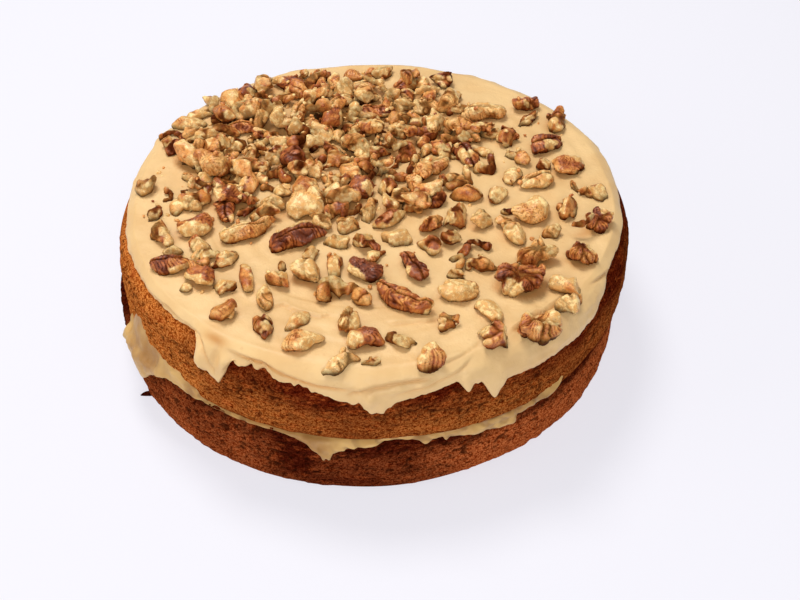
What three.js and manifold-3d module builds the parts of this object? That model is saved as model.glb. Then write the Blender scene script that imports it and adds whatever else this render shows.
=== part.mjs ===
// Coffee and walnut cake: two round sponges with coffee buttercream between them, iced on top and
// strewn with broken walnuts. Millimetres, +Z up, origin at the middle of the base.
// Angles are in degrees anticlockwise from +X, seen from above, so the front is at -90.

import * as THREE from "three";
import { mergeVertices } from "three/addons/utils/BufferGeometryUtils.js";
import Module from "manifold-3d";

const wasm = await Module();
wasm.setup();

// Driving sizes of the layers
const RADIUS = 115; // sponges from 23 cm tins
const LOWER_TOP = 30;
const JOINT = 2.5; // space between the sponges
const UPPER_TOP = 63;
const ICING_THICK = 4.5;
const GAP = 0.3; // clearance between neighbouring pieces
const LOWER_SHIFT = -1.5; // along X: the sponges don't sit quite true on each other
const UPPER_SHIFT = 1.4;
const LUMP = 0.45; // unevenness of the sponge walls
const UPPER_BOTTOM = LOWER_TOP + JOINT;
const ICING_TOP = UPPER_TOP + ICING_THICK;

// Rounded edges of the sponges: how far in and how far up or down each round runs
const LOWER_SPONGE = {
  bottom: 0,
  top: LOWER_TOP,
  shift: LOWER_SHIFT,
  foot: { inset: 3.5, rise: 7 },
  edge: { inset: 3, drop: 5 },
  seed: 1,
};
const SHOULDER = { inset: 8, drop: 10 };
const UPPER_SPONGE = {
  bottom: UPPER_BOTTOM,
  top: UPPER_TOP,
  shift: UPPER_SHIFT,
  foot: { inset: 2.5, rise: 4 },
  edge: SHOULDER,
  seed: 2,
};
const FOOT_TURNS = [-90, -40, 0];
const EDGE_TURNS = [0, 30, 60, 90];
const SPONGE_STEPS = 60;

// Torn flake that sticks out of the lower sponge's wall
const FLAKE = { at: -147.5, height: 5.5, length: 11, width: 5, thick: 2.2, out: 5 };

// Icing: height of its lower edge round the cake, and the drips below that edge
const ICING_EDGE = [
  [-180, 61.5],
  [-140, 62.6],
  [-128, 62.4],
  [-114, 62],
  [-105, 59.7],
  [-95, 55.2],
  [-86, 55],
  [-78, 57.3],
  [-72, 59.2],
  [-60, 54.8],
  [-50, 53.6],
  [-38, 54.6],
  [-32, 58.7],
  [-26, 62],
  [0, 61.5],
  [40, 57],
  [85, 61],
  [130, 58],
];
const BLUNT = 4;
const POINTED = 1.2;
const DRIPS = [
  { at: -124, width: 4.6, drop: 12.5, form: BLUNT },
  { at: -89, width: 2.8, drop: 6, form: BLUNT },
  { at: -70.3, width: 1.4, drop: 5.5, form: POINTED },
  { at: -64.5, width: 2.6, drop: 10, form: POINTED },
  { at: 24, width: 3, drop: 8, form: POINTED },
  { at: 62, width: 5, drop: 7, form: BLUNT },
  { at: 112, width: 3, drop: 11, form: POINTED },
  { at: 153, width: 4, drop: 8, form: BLUNT },
];
const ICING_STEP = 6;
const ICING_LIP = 2; // thickness at the lower edge
const ICING_SIDE = 3; // thickness on the shoulder
const ICING_BITE = 1; // how far the uncut icing reaches into the sponge

// Filling: where it is squeezed out of the joint, how far it stands proud, hangs down and is smeared up
const FLUSH = -0.8;
const OOZES = [
  { at: -154, width: 5, out: 1.6, droop: 6, rise: 12.5, form: 2 },
  { at: -152, width: 12, out: 1.7, droop: 20, rise: 0.5, form: 1.2 },
  { at: -140, width: 13, out: 1.2, droop: 0.6, rise: 2, form: 3 },
  { at: -99, width: 7.5, out: 1.4, droop: 13, rise: 0, form: 1 },
  { at: -91, width: 6, out: 1.3, droop: 3, rise: 0, form: 2 },
  { at: -78, width: 4, out: 1.3, droop: 4, rise: 0, form: 1.4 },
  { at: -64, width: 11, out: 1.5, droop: 7, rise: 0.4, form: 3 },
  { at: -50, width: 6, out: 1.4, droop: 2.5, rise: 2.5, form: 1.5 },
  { at: 15, width: 14, out: 1.6, droop: 4, rise: 1, form: 2 },
  { at: 58, width: 9, out: 1.8, droop: 8, rise: 1, form: 1.3 },
  { at: 115, width: 16, out: 1.6, droop: 5, rise: 1.5, form: 2 },
];
const FILLING_STEP = 15;
const FILLING_BITE = 1;

// Walnuts as [form, tone, x, y, length, width, turn]
const WALNUTS = [
  ["half", "dark", -28, -33, 26, 12, 25],
  ["half", "tan", -52, -27, 26, 11, 20],
  ["half", "brown", -82, -50, 18, 11, 10],
  ["chunk", "dark", -69, -58, 14, 10, -25],
  ["chunk", "tan", -60, -46, 14, 9, 35],
  ["shard", "brown", -50, -59, 18, 6, -75],
  ["chunk", "tan", -60, -62, 10, 8, 20],
  ["chunk", "tan", -72, -37, 10, 9, 0],
  ["chunk", "pale", -84, -39, 9, 6, 15],
  ["half", "tan", -74, -24, 17, 13, 40],
  ["chunk", "tan", -89, -31, 16, 9, 110],
  ["chunk", "dark", -94, -15, 9, 6, 40],
  ["chunk", "pale", -78, -8, 16, 11, 10],
  ["half", "brown", -64, -14, 18, 10, 100],
  ["chunk", "brown", -54, -5, 13, 8, -15],
  ["chunk", "pale", -43, -9, 13, 9, 30],
  ["half", "pale", -29, -11, 17, 13, 15],
  ["chunk", "brown", -17, -14, 12, 9, 60],
  ["chunk", "brown", -10, -24, 12, 9, -20],
  ["chunk", "tan", -24, -43, 9, 7, 50],
  ["chunk", "pale", -14, -35, 11, 8, 20],
  ["chunk", "brown", -3, -36, 13, 9, -10],
  ["chunk", "pale", -25, -55, 14, 11, -30],
  ["shard", "dark", -14, -49, 16, 7, 95],
  ["half", "dark", -1, -53, 16, 11, -20],
  ["curl", "tan", -8, -68, 24, 14, 0],
  ["chunk", "brown", -37, -59, 13, 8, -45],
  ["shard", "pale", -43, -69, 13, 7, 100],
  ["chunk", "brown", -58, -79, 12, 10, 15],
  ["chunk", "dark", -41, -87, 13, 9, -50],
  ["shard", "pale", -28, -84, 13, 6, 40],
  ["half", "tan", -25, -96, 18, 11, 25],
  ["chunk", "tan", -7, -85, 12, 10, 70],
  ["chunk", "pale", -10, -107, 17, 8, 40],
  ["half", "brown", -1, -95, 15, 11, 20],
  ["chunk", "pale", 13, -95, 13, 8, -20],
  ["chunk", "pale", 2, -106, 8, 5, 10],
  ["chunk", "tan", 25, -106, 12, 11, 30],
  ["half", "brown", 13, -71, 27, 12, -35],
  ["half", "dark", 19, -51, 20, 9, -60],
  ["chunk", "pale", 12, -32, 13, 8, 10],
  ["shard", "tan", 9, -20, 18, 8, 30],
  ["chunk", "tan", 27, -24, 12, 10, 20],
  ["chunk", "tan", 26, -37, 12, 9, -30],
  ["chunk", "brown", 36, -32, 10, 9, 60],
  ["chunk", "dark", 39, -18, 14, 10, 70],
  ["chunk", "pale", 50, -20, 13, 10, 80],
  ["shard", "pale", 61, -26, 20, 9, -65],
  ["half", "pale", 72, -16, 18, 13, 30],
  ["chunk", "brown", 86, -12, 13, 10, 60],
  ["chunk", "tan", 79, -28, 9, 7, 0],
  ["half", "dark", 100, -21, 14, 11, 75],
  ["curl", "dark", 45, -38, 16, 9, 20],
  ["chunk", "tan", 48, -49, 14, 9, -15],
  ["half", "tan", 71, -44, 18, 13, 15],
  ["chunk", "brown", 91, -44, 13, 12, 80],
  ["half", "brown", 63, -61, 23, 17, 10],
  ["shard", "pale", 82, -63, 14, 8, -25],
  ["half", "pale", 38, -67, 17, 12, -10],
  ["shard", "pale", 49, -77, 16, 8, -50],
  ["chunk", "dark", 32, -85, 10, 8, 45],
  ["chunk", "pale", 85, -77, 12, 10, 30],
  ["half", "brown", 70, -90, 19, 13, 10],
  ["chunk", "brown", 50, -94, 13, 11, -15],
  ["chunk", "tan", -101, 4, 11, 9, 80],
  ["chunk", "dark", -91, 33, 10, 8, 0],
  ["chunk", "tan", -81, 25, 13, 7, 20],
  ["shard", "pale", -87, 53, 17, 7, 15],
  ["half", "tan", -60, 50, 19, 9, 10],
  ["half", "brown", -68, 72, 13, 12, 60],
  ["chunk", "tan", -45, 63, 16, 8, 75],
  ["chunk", "pale", -31, 73, 13, 9, 15],
  ["half", "dark", -43, 88, 14, 10, 20],
  ["chunk", "dark", -26, 93, 11, 9, 50],
  ["chunk", "tan", -14, 72, 11, 9, 10],
  ["chunk", "tan", -72, 35, 13, 11, 40],
  ["chunk", "brown", -44, 28, 13, 9, 60],
  ["chunk", "dark", -31, 34, 14, 7, 20],
  ["chunk", "tan", -57, 19, 15, 8, -10],
  ["curl", "tan", -44, 11, 16, 10, 15],
  ["chunk", "pale", -26, 15, 11, 10, 80],
  ["chunk", "brown", -14, 24, 14, 9, 20],
  ["chunk", "pale", -76, 7, 14, 8, 30],
  ["chunk", "pale", 4, 97, 13, 8, 10],
  ["half", "dark", 17, 86, 19, 9, 35],
  ["chunk", "dark", 34, 90, 12, 9, -20],
  ["half", "dark", 2, 63, 21, 10, 5],
  ["chunk", "pale", 26, 66, 14, 10, 30],
  ["half", "tan", 53, 62, 23, 12, 10],
  ["chunk", "dark", 74, 68, 13, 9, 30],
  ["chunk", "dark", 88, 55, 14, 10, 70],
  ["chunk", "brown", 64, 42, 14, 10, 60],
  ["half", "dark", 82, 36, 17, 10, 20],
  ["half", "tan", 91, 19, 15, 11, 15],
  ["half", "dark", 44, 28, 19, 10, -60],
  ["half", "tan", 75, 8, 17, 10, 25],
  ["half", "pale", 29, 19, 17, 10, 35],
  ["chunk", "tan", 2, 30, 15, 8, 20],
  ["chunk", "pale", 13, 46, 12, 9, -20],
  ["chunk", "brown", 26, 45, 12, 9, 40],
  ["half", "dark", -5, 1, 14, 12, 30],
  ["chunk", "dark", 8, 3, 13, 9, 80],
  ["shard", "pale", 21, 2, 14, 6, -70],
  ["chunk", "brown", 43, -2, 15, 9, 10],
  ["chunk", "brown", 57, -2, 12, 9, 70],
];
const HEIGHT_SHARE = { half: 0.8, chunk: 0.92, curl: 0.75, shard: 1 }; // height over width
const OWN_PIECES = 56; // the largest walnuts are pieces of their own, the rest are fused to the icing
const WALNUT_SINK = 0.22; // share of the height that is pressed into the icing
const WALNUT_CLEAR = 0.8; // least space between walnuts
const WALNUT_REACH = 112; // no walnut's middle is further out
const WALNUT_JITTER = 0.14;
const WALNUT_TILT = 9;

// Chopped bits between the walnuts, spread as the seeds of a sunflower are
const BIT_TRIES = 400;
const BIT_COUNT = 22;
const BIT_REACH = 99;
const BIT_LENGTH = [4.5, 8.5];
const GOLDEN_ANGLE = 137.508;

const COLOURS = {
  lower: "#6b3f25",
  upper: "#8a5530",
  cream: "#e3c49a",
  pale: "#d9b483",
  tan: "#b98552",
  brown: "#8a5a35",
  dark: "#5a3a26",
};

const radians = THREE.MathUtils.degToRad;
const sin = (degrees) => Math.sin(radians(degrees));
const cos = (degrees) => Math.cos(radians(degrees));

// Angle from b to a, between -180 and 180 degrees.
const angleBetween = (a, b) => ((((a - b + 180) % 360) + 360) % 360) - 180;

// Repeatable draw between 0 and 1 for a whole number.
function draw(seed) {
  let bits = Math.imul(seed ^ 0x9e3779b9, 0x2c1b3c6d);
  bits = Math.imul(bits ^ (bits >>> 12), 0x297a2d39);
  return ((bits ^ (bits >>> 15)) >>> 0) / 2 ** 32;
}

// Swell of a drip or an ooze at an angle: 1 at its middle, 0 past its width.
function swell({ at, width, form }, angle) {
  const away = Math.abs(angleBetween(angle, at)) / width;
  return away < 1 ? 1 - away ** form : 0;
}

// Even angles round the cake, with more of them on each drip or ooze.
function anglesWith(step, marks) {
  const angles = [];
  for (let angle = -180; angle < 180; angle += step) angles.push(angle);
  for (const { at, width } of marks) {
    for (const share of [-1, -0.55, 0, 0.55, 1]) angles.push(angleBetween(at + share * width, 0));
  }
  angles.sort((a, b) => a - b);
  const closest = 0.6;
  return angles.filter((angle, i) => i === 0 || angle - angles[i - 1] > closest);
}

// Height of the icing's lower edge at an angle.
function icingEdge(angle) {
  const next = ICING_EDGE.findIndex(([at]) => at > angle);
  const count = ICING_EDGE.length;
  const [a1, z1] = ICING_EDGE[(next < 0 ? count : next) - 1];
  const [a2, z2] = next < 0 ? [ICING_EDGE[0][0] + 360, ICING_EDGE[0][1]] : ICING_EDGE[next];
  const base = z1 + (z2 - z1) * THREE.MathUtils.smoothstep(angle, a1, a2);
  return base - DRIPS.reduce((sum, drip) => sum + drip.drop * swell(drip, angle), 0);
}

// Closed body round the Z axis. ringsAt gives, for an angle, [radius, height] from the foot to the top;
// the first and last rings are closed by flat faces.
function turned(angles, ringsAt, shift) {
  const profiles = angles.map(ringsAt);
  const rings = profiles[0].length;
  const positions = [];
  profiles.forEach((profile, i) => {
    for (const [r, z] of profile) positions.push(shift + r * cos(angles[i]), r * sin(angles[i]), z);
  });
  const foot = positions.length / 3;
  const top = foot + 1;
  positions.push(shift, 0, profiles[0][0][1], shift, 0, profiles[0][rings - 1][1]);
  const index = [];
  angles.forEach((_, i) => {
    const here = i * rings;
    const there = ((i + 1) % angles.length) * rings;
    index.push(foot, there, here);
    for (let k = 0; k < rings - 1; k++) {
      index.push(here + k, there + k, there + k + 1, here + k, there + k + 1, here + k + 1);
    }
    index.push(top, here + rings - 1, there + rings - 1);
  });
  const geometry = new THREE.BufferGeometry();
  geometry.setAttribute("position", new THREE.Float32BufferAttribute(positions, 3));
  geometry.setIndex(index);
  return geometry;
}

// Solid for joining and cutting, and back to a geometry.
function solidOf(geometry) {
  const bare = geometry.clone();
  bare.deleteAttribute("normal");
  bare.deleteAttribute("uv");
  const merged = mergeVertices(bare, 1e-4);
  const mesh = new wasm.Mesh({
    numProp: 3,
    vertProperties: new Float32Array(merged.attributes.position.array),
    triVerts: new Uint32Array(merged.index.array),
  });
  return new wasm.Manifold(mesh);
}

function geometryOf(solid) {
  const mesh = solid.getMesh();
  const geometry = new THREE.BufferGeometry();
  geometry.setAttribute("position", new THREE.BufferAttribute(mesh.vertProperties, 3));
  geometry.setIndex(new THREE.BufferAttribute(mesh.triVerts, 1));
  geometry.computeVertexNormals();
  return geometry;
}

// The main body of a cut solid, without loose scraps.
function mainBody(solid) {
  const bodies = solid.decompose();
  return bodies.reduce((best, body) => (body.volume() > best.volume() ? body : best));
}

// Unevenness of a sponge's wall, the same for the sponge and for its grown copy.
function lump(angle, ring, seed) {
  const waves = [3, 5, 8, 13];
  const sum = waves.reduce((total, n, k) => {
    const phase = 360 * draw(seed * 31 + k) + ring * (20 + 15 * k);
    return total + sin(n * angle + phase) / (1 + 0.3 * k);
  }, 0);
  return LUMP * sum;
}

function sponge({ bottom, top, shift, foot, edge, seed }, grow) {
  const wall = RADIUS + grow;
  const rings = [
    ...FOOT_TURNS.map((turn) => [
      wall - foot.inset * (1 - cos(turn)),
      bottom - grow + foot.rise * (1 + sin(turn)),
    ]),
    ...EDGE_TURNS.map((turn) => [
      wall - edge.inset * (1 - cos(turn)),
      top + grow - edge.drop * (1 - sin(turn)),
    ]),
  ];
  const angles = anglesWith(360 / SPONGE_STEPS, []);
  return turned(angles, (angle) => rings.map(([r, z], k) => [r + lump(angle, k, seed), z]), shift);
}

// Small flat spike on the lower sponge's wall.
function flake() {
  const { at, height, length, width, thick, out } = FLAKE;
  const geometry = new THREE.ConeGeometry(width / 2, length, 6);
  geometry.rotateZ(-Math.PI / 2);
  geometry.scale(1, 1, thick / width);
  geometry.translate(RADIUS + out - length / 2, 0, 0);
  geometry.rotateY(radians(-12));
  geometry.rotateZ(radians(at));
  geometry.translate(LOWER_SHIFT, 0, height - (RADIUS + out) * sin(12));
  return geometry;
}

// Filling: a full disc, squeezed out of the joint here and there.
function filling() {
  const ringsAt = (angle) => {
    const sum = { out: FLUSH, droop: 0, rise: 0 };
    for (const ooze of OOZES) {
      const share = swell(ooze, angle);
      sum.out = Math.max(sum.out, FLUSH + (ooze.out - FLUSH) * share ** 0.7);
      sum.droop = Math.max(sum.droop, ooze.droop * share);
      sum.rise = Math.max(sum.rise, ooze.rise * share);
    }
    // The upper wall stands further out than the lower one by this much on each side of their mean
    const lean = ((UPPER_SHIFT - LOWER_SHIFT) / 2) * cos(angle);
    const lip = RADIUS + sum.out;
    const bite = RADIUS + Math.min(sum.out, 0) - 2;
    const low = LOWER_TOP - FILLING_BITE;
    const high = UPPER_BOTTOM + FILLING_BITE;
    return [
      [RADIUS - 12, low],
      [bite - lean, low - sum.droop],
      [lip - lean - 0.5, low - sum.droop + 0.4],
      [lip, (low + high + sum.rise - sum.droop) / 2],
      [lip + lean - 0.5, high + sum.rise - 0.4],
      [bite + lean, high + sum.rise],
      [RADIUS - 12, high],
    ];
  };
  return turned(anglesWith(FILLING_STEP, OOZES), ringsAt, (LOWER_SHIFT + UPPER_SHIFT) / 2);
}

// Length of the sponge's round shoulder, and a point on it, run mm past its start and moved out.
const SHOULDER_RUN = (Math.PI / 4) * (SHOULDER.inset + SHOULDER.drop);

function shoulderPoint(run, out) {
  const turn = 90 * Math.min(run / SHOULDER_RUN, 1);
  const down = Math.max(run - SHOULDER_RUN, 0);
  return [
    RADIUS - SHOULDER.inset + (SHOULDER.inset + out) * sin(turn),
    UPPER_TOP - SHOULDER.drop + (SHOULDER.drop + out) * cos(turn) - down,
  ];
}

// Run at which the shoulder, and the wall below it, reach a height.
function runTo(height) {
  const above = (height - (UPPER_TOP - SHOULDER.drop)) / SHOULDER.drop;
  if (above < 0) return SHOULDER_RUN - above * SHOULDER.drop;
  return (SHOULDER_RUN * Math.acos(Math.min(above, 1))) / (Math.PI / 2);
}

// Icing: flat on top, rounded over the shoulder, with a ragged lower edge.
function icing() {
  const ringsAt = (angle) => {
    const end = runTo(icingEdge(angle));
    return [
      [RADIUS - SHOULDER.inset - 6, UPPER_TOP - ICING_BITE],
      shoulderPoint(end / 2, -ICING_BITE),
      shoulderPoint(end, -ICING_BITE),
      shoulderPoint(end, ICING_LIP),
      shoulderPoint(end * 0.9, ICING_LIP + 0.7),
      shoulderPoint(end * 0.6, ICING_SIDE),
      shoulderPoint(end * 0.3, (ICING_SIDE + ICING_THICK) / 2),
      shoulderPoint(0, ICING_THICK),
    ];
  };
  return turned(anglesWith(ICING_STEP, DRIPS), ringsAt, UPPER_SHIFT);
}

// Reach of a walnut from its middle towards a direction, seen from above.
function reach({ length, width, turn }, direction) {
  const along = cos(direction - turn);
  const across = sin(direction - turn);
  return Math.hypot((length / 2) * along, (width / 2) * across);
}

// How far two walnuts are short of standing clear of each other.
function shortfall(a, b) {
  const direction = THREE.MathUtils.radToDeg(Math.atan2(b.y - a.y, b.x - a.x));
  const needed = reach(a, direction) + reach(b, direction) + WALNUT_CLEAR;
  return { short: needed - Math.hypot(b.x - a.x, b.y - a.y), direction };
}

// Moves walnuts apart, a little at a time, until they are clear of each other and of the rim.
function settle(walnuts) {
  const rounds = 200;
  for (let round = 0; round < rounds; round++) {
    walnuts.forEach((a, i) => {
      for (const b of walnuts.slice(i + 1)) {
        const { short, direction } = shortfall(a, b);
        if (short <= 0) continue;
        const step = short / 2 + 0.01;
        a.x -= step * cos(direction);
        a.y -= step * sin(direction);
        b.x += step * cos(direction);
        b.y += step * sin(direction);
      }
      const out = Math.hypot(a.x, a.y);
      if (out > WALNUT_REACH) {
        a.x *= WALNUT_REACH / out;
        a.y *= WALNUT_REACH / out;
      }
    });
  }
}

// Chopped bits where there is room for them, the largest first and more of them towards the back.
function chopped(walnuts) {
  const tries = Array.from({ length: BIT_TRIES }, (_, i) => {
    const out = BIT_REACH * Math.sqrt((i + 0.5) / BIT_TRIES);
    const length = THREE.MathUtils.lerp(...BIT_LENGTH, draw(7000 + i));
    return {
      form: "chunk",
      x: out * cos(i * GOLDEN_ANGLE),
      y: out * sin(i * GOLDEN_ANGLE),
      length,
      width: length * (0.6 + 0.35 * draw(8000 + i)),
      turn: 180 * draw(9000 + i),
    };
  });
  const crowd = ({ y }) => THREE.MathUtils.mapLinear(y, -BIT_REACH, BIT_REACH, 0.1, 0.9);
  const kept = tries.filter((bit, i) => draw(6000 + i) < crowd(bit));
  kept.sort((a, b) => b.length - a.length);
  const bits = [];
  for (const bit of kept) {
    const clear = [...walnuts, ...bits].every((other) => shortfall(bit, other).short <= 0);
    if (clear && bits.length < BIT_COUNT) bits.push(bit);
  }
  return bits;
}

// Outline of each form of walnut on a ball of radius 1.
const FORMS = {
  half: (p) => p.multiply(new THREE.Vector3(1, 1, 1 - 0.3 * Math.exp(-((p.y / 0.3) ** 2)))),
  chunk: (p) => p.multiplyScalar(1 + 0.12 * Math.sin(3 * Math.atan2(p.y, p.x) + 4 * p.z)),
  curl: (p) => p.set(p.x, 0.55 * p.y + 0.9 * (0.5 - p.x * p.x), p.z),
  shard: (p) => p.set(p.x, p.y * (1 - 0.45 * Math.abs(p.x) ** 3), p.z),
};

// One walnut made from a ball, pressed into the icing and flattened where it would go below a floor.
function walnut({ form, x, y, length, width, turn }, seed, ball, floor) {
  ball.deleteAttribute("normal");
  ball.deleteAttribute("uv");
  const geometry = mergeVertices(ball, 1e-4);
  const position = geometry.attributes.position;
  for (let i = 0; i < position.count; i++) {
    const point = new THREE.Vector3().fromBufferAttribute(position, i);
    const jitter = 1 + WALNUT_JITTER * (2 * draw(seed * 101 + i) - 1);
    position.setXYZ(i, ...FORMS[form](point).multiplyScalar(jitter));
  }
  geometry.rotateX(radians(WALNUT_TILT * (2 * draw(seed * 13 + 5) - 1)));
  geometry.rotateY(radians(WALNUT_TILT * (2 * draw(seed * 17 + 3) - 1)));
  geometry.center();
  geometry.computeBoundingBox();
  const size = geometry.boundingBox.getSize(new THREE.Vector3());
  const height = width * HEIGHT_SHARE[form];
  geometry.scale(length / size.x, width / size.y, height / size.z);
  geometry.rotateZ(radians(turn));
  geometry.translate(x, y, ICING_TOP + height * (0.5 - WALNUT_SINK));
  for (let i = 0; i < position.count; i++) position.setZ(i, Math.max(position.getZ(i), floor));
  return solidOf(geometry);
}

// A fused walnut runs on into the icing, with few sides.
function fusedWalnut(piece, seed) {
  return walnut(piece, seed, new THREE.OctahedronGeometry(1, 1), -Infinity);
}

// A walnut of its own ends just above the icing, which falls away at the rim.
function looseWalnut(piece, seed, icingRaised) {
  const ball = new THREE.IcosahedronGeometry(1, 1);
  const flatReach = RADIUS - SHOULDER.inset - piece.length / 2;
  const onFlat = Math.hypot(piece.x, piece.y) < flatReach;
  if (onFlat) return walnut(piece, seed, ball, ICING_TOP + GAP);
  return mainBody(walnut(piece, seed, ball, -Infinity).subtract(icingRaised));
}

function named(name, geometry, colour, roughness) {
  const material = new THREE.MeshStandardMaterial({ color: colour, roughness, metalness: 0 });
  const mesh = new THREE.Mesh(geometry, material);
  mesh.name = name;
  return mesh;
}

const lowerGrown = solidOf(sponge(LOWER_SPONGE, GAP));
const upperGrown = solidOf(sponge(UPPER_SPONGE, GAP));
const lowerSolid = solidOf(sponge(LOWER_SPONGE, 0)).add(solidOf(flake()));
const fillingSolid = mainBody(solidOf(filling()).subtract(lowerGrown).subtract(upperGrown));

const walnuts = WALNUTS.map(([form, tone, x, y, length, width, turn]) => {
  return { form, tone, x, y, length, width, turn };
});
settle(walnuts);
walnuts.sort((a, b) => b.length * b.width - a.length * a.width);
const ownPieces = walnuts.slice(0, OWN_PIECES);
const fused = [...walnuts.slice(OWN_PIECES), ...chopped(walnuts)];
const plainIcing = mainBody(solidOf(icing()).subtract(upperGrown));
const icingSolid = fused.reduce(
  (solid, piece, i) => solid.add(fusedWalnut(piece, OWN_PIECES + i)),
  plainIcing,
);
const icingRaised = plainIcing.translate([0, 0, GAP]);

const cake = new THREE.Group();
cake.add(named("sponge_lower", geometryOf(lowerSolid), COLOURS.lower, 0.95));
cake.add(named("filling", geometryOf(fillingSolid), COLOURS.cream, 0.6));
cake.add(named("sponge_upper", sponge(UPPER_SPONGE, 0), COLOURS.upper, 0.95));
cake.add(named("icing", geometryOf(icingSolid), COLOURS.cream, 0.55));
ownPieces.forEach((piece, i) => {
  const name = `walnut_${piece.form}_${piece.tone}_${String(i + 1).padStart(2, "0")}`;
  const solid = looseWalnut(piece, i, icingRaised);
  cake.add(named(name, geometryOf(solid), COLOURS[piece.tone], 0.6));
});

export default cake;
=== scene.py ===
import math

import bmesh
import bpy
import numpy as np
from mathutils import Euler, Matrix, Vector


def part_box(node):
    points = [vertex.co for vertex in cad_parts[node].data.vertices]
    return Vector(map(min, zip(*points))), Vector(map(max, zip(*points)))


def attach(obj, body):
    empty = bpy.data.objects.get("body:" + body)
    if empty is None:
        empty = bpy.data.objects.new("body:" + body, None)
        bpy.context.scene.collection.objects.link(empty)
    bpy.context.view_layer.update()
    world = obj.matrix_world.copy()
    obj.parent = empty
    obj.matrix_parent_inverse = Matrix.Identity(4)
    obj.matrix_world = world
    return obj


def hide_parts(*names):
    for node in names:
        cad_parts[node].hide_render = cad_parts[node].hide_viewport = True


# The looks of a coffee and walnut cake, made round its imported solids.
# Lengths are in millimetres until a mesh is made, angles go round the cake from +X.

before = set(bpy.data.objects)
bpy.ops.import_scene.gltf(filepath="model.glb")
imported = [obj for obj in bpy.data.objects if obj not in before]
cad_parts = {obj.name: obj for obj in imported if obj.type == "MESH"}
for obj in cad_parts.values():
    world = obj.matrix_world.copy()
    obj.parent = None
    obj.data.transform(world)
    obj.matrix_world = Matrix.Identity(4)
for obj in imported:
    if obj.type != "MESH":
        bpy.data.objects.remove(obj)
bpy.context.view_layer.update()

MM = 0.001
TURN = 2 * math.pi
WALL_INNER = 100.0  # points of the solids nearer the middle than this aren't on a side
RIM_RADIUS = 115.0  # radius at which noise and lengths run along the rim
BED_CELLS = 260  # cells of 1 mm along each side of the grid that holds the walnuts' heights

# Camera, as the photograph was taken
CAMERA_AIM = (13.39, 4.45, 0.0)
CAMERA_DISTANCE = 650.8
CAMERA_ELEVATION = math.radians(42.345)
CAMERA_LENS = 60.44
CAMERA_SENSOR = 36.0

# Studio, in metres. Each light: name, place, height that it aims at, size, power and colour
LIGHTS = [
    ("key", (-0.22, 0.38, 1.1), 0.05, 0.42, 9.2, (1.0, 0.985, 0.96)),
    ("fill", (0.0, -0.95, 0.8), 0.04, 0.6, 6.6, (1.0, 0.99, 0.98)),
    ("side", (-1.1, -0.35, 0.55), 0.04, 0.7, 3.2, (1.0, 0.985, 0.96)),
]
WORLD_COLOUR = (0.97, 0.97, 1.0, 1.0)
WORLD_STRENGTH = 0.28
FLOOR_HALF = 3.0
FLOOR_DROP = 0.0002  # below the base
FLOOR_COLOUR = (0.25, 0.248, 0.264, 1.0)
FLOOR_GLOW = (0.92, 0.91, 0.98, 1.0)
FLOOR_GLOW_STRENGTH = 0.7

# Colours as the eye sees them, from 0 to 255
UPPER_COLOURS = [(88, 28, 9), (194, 115, 50), (166, 81, 33), (60, 19, 6)]  # crust, crumb, warm and deep
LOWER_COLOURS = [(70, 21, 8), (172, 90, 45), (144, 67, 29), (42, 12, 4)]
ICING_COLOURS = [(228, 191, 134), (220, 179, 121), (190, 126, 58)]  # light, deep, and the colour of stains and painted shade
# The filling's third colour is for its darker streaks and for painted shade in its creases and gap
FILLING_COLOURS = [(212, 170, 102), (168, 122, 66), (98, 52, 24)]
FLECK_COLOUR = (206, 158, 104)
SKIN_COLOURS = [  # of a walnut, by tone
    (0.0, (246, 194, 120)), (0.3, (222, 148, 74)), (0.5, (182, 98, 44)), (0.7, (122, 55, 24)),
    (1.0, (58, 22, 11)),
]
SKIN_VEIN = (84, 38, 16)
FLESH_COLOURS = [(250, 216, 148), (224, 166, 92)]
FLESH_VEIN = (156, 88, 38)
# Painted shade in a walnut's creases, where it meets the icing and deep among the walnuts, with some of the
# skin's own darker brown in the creases
FOLD_AND_SHADE_COLOUR = (34, 6, 0)
# What the grain and the pits of the crumb multiply its colour by; in the pits it is painted shade
GRAIN_DARK = (0.6, 0.38, 0.2, 1)
GRAIN_LIGHT = (1.4, 1.58, 1.85, 1)
PIT_SHADE = (0.4, 0.17, 0.03, 1)
BLACK = (0, 0, 0, 1)

# Sponges
SPONGE_STEPS = 840  # points round each wall
SPONGE_RISE = 0.8  # height between the rings of the wall
SPONGE_WAVE = 0.35  # low waves of the wall
SPONGE_CRUMB = 0.3  # coarse crumb
SPONGE_GRAIN = 0.2  # fine crumb
JOINT_FLARE = 1.4  # how much the crumb fills out the rounded edges at the joint
JOINT_RISE = 4.5
JOINT_LIP = 1.1  # how far each sponge sags towards the other where almost no filling shows between them
JOINT_SHUT = (math.radians(-133), math.radians(-103), 0.12, 0.06)  # from, to and how each end fades
INNER_RINGS = np.array([0.25, 0.5, 0.75, 0.9, 0.97])  # of a sponge's flat faces, as shares of its radius
PORE_SIZE = 1.5
PORE_DEPTH = 0.5
TEAR_SIZE = 3.4  # tears in the crumb, longer than they are high
TEAR_DEPTH = 0.5
FLAKE_REACH = 2.0  # the wall's own unevenness in the solids ends this far out, and the flake goes further
FLAKE_AT = math.radians(-147.5)
FLAKE_SIZE = (11.0, 5.0, 2.4)  # along, across and thick
FLAKE_OUT = 0.3  # from the wall to its middle
FLAKE_HEIGHT = 4.3
FLAKE_TILT = math.radians(12)
FLAKE_VOXEL = 0.4

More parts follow.
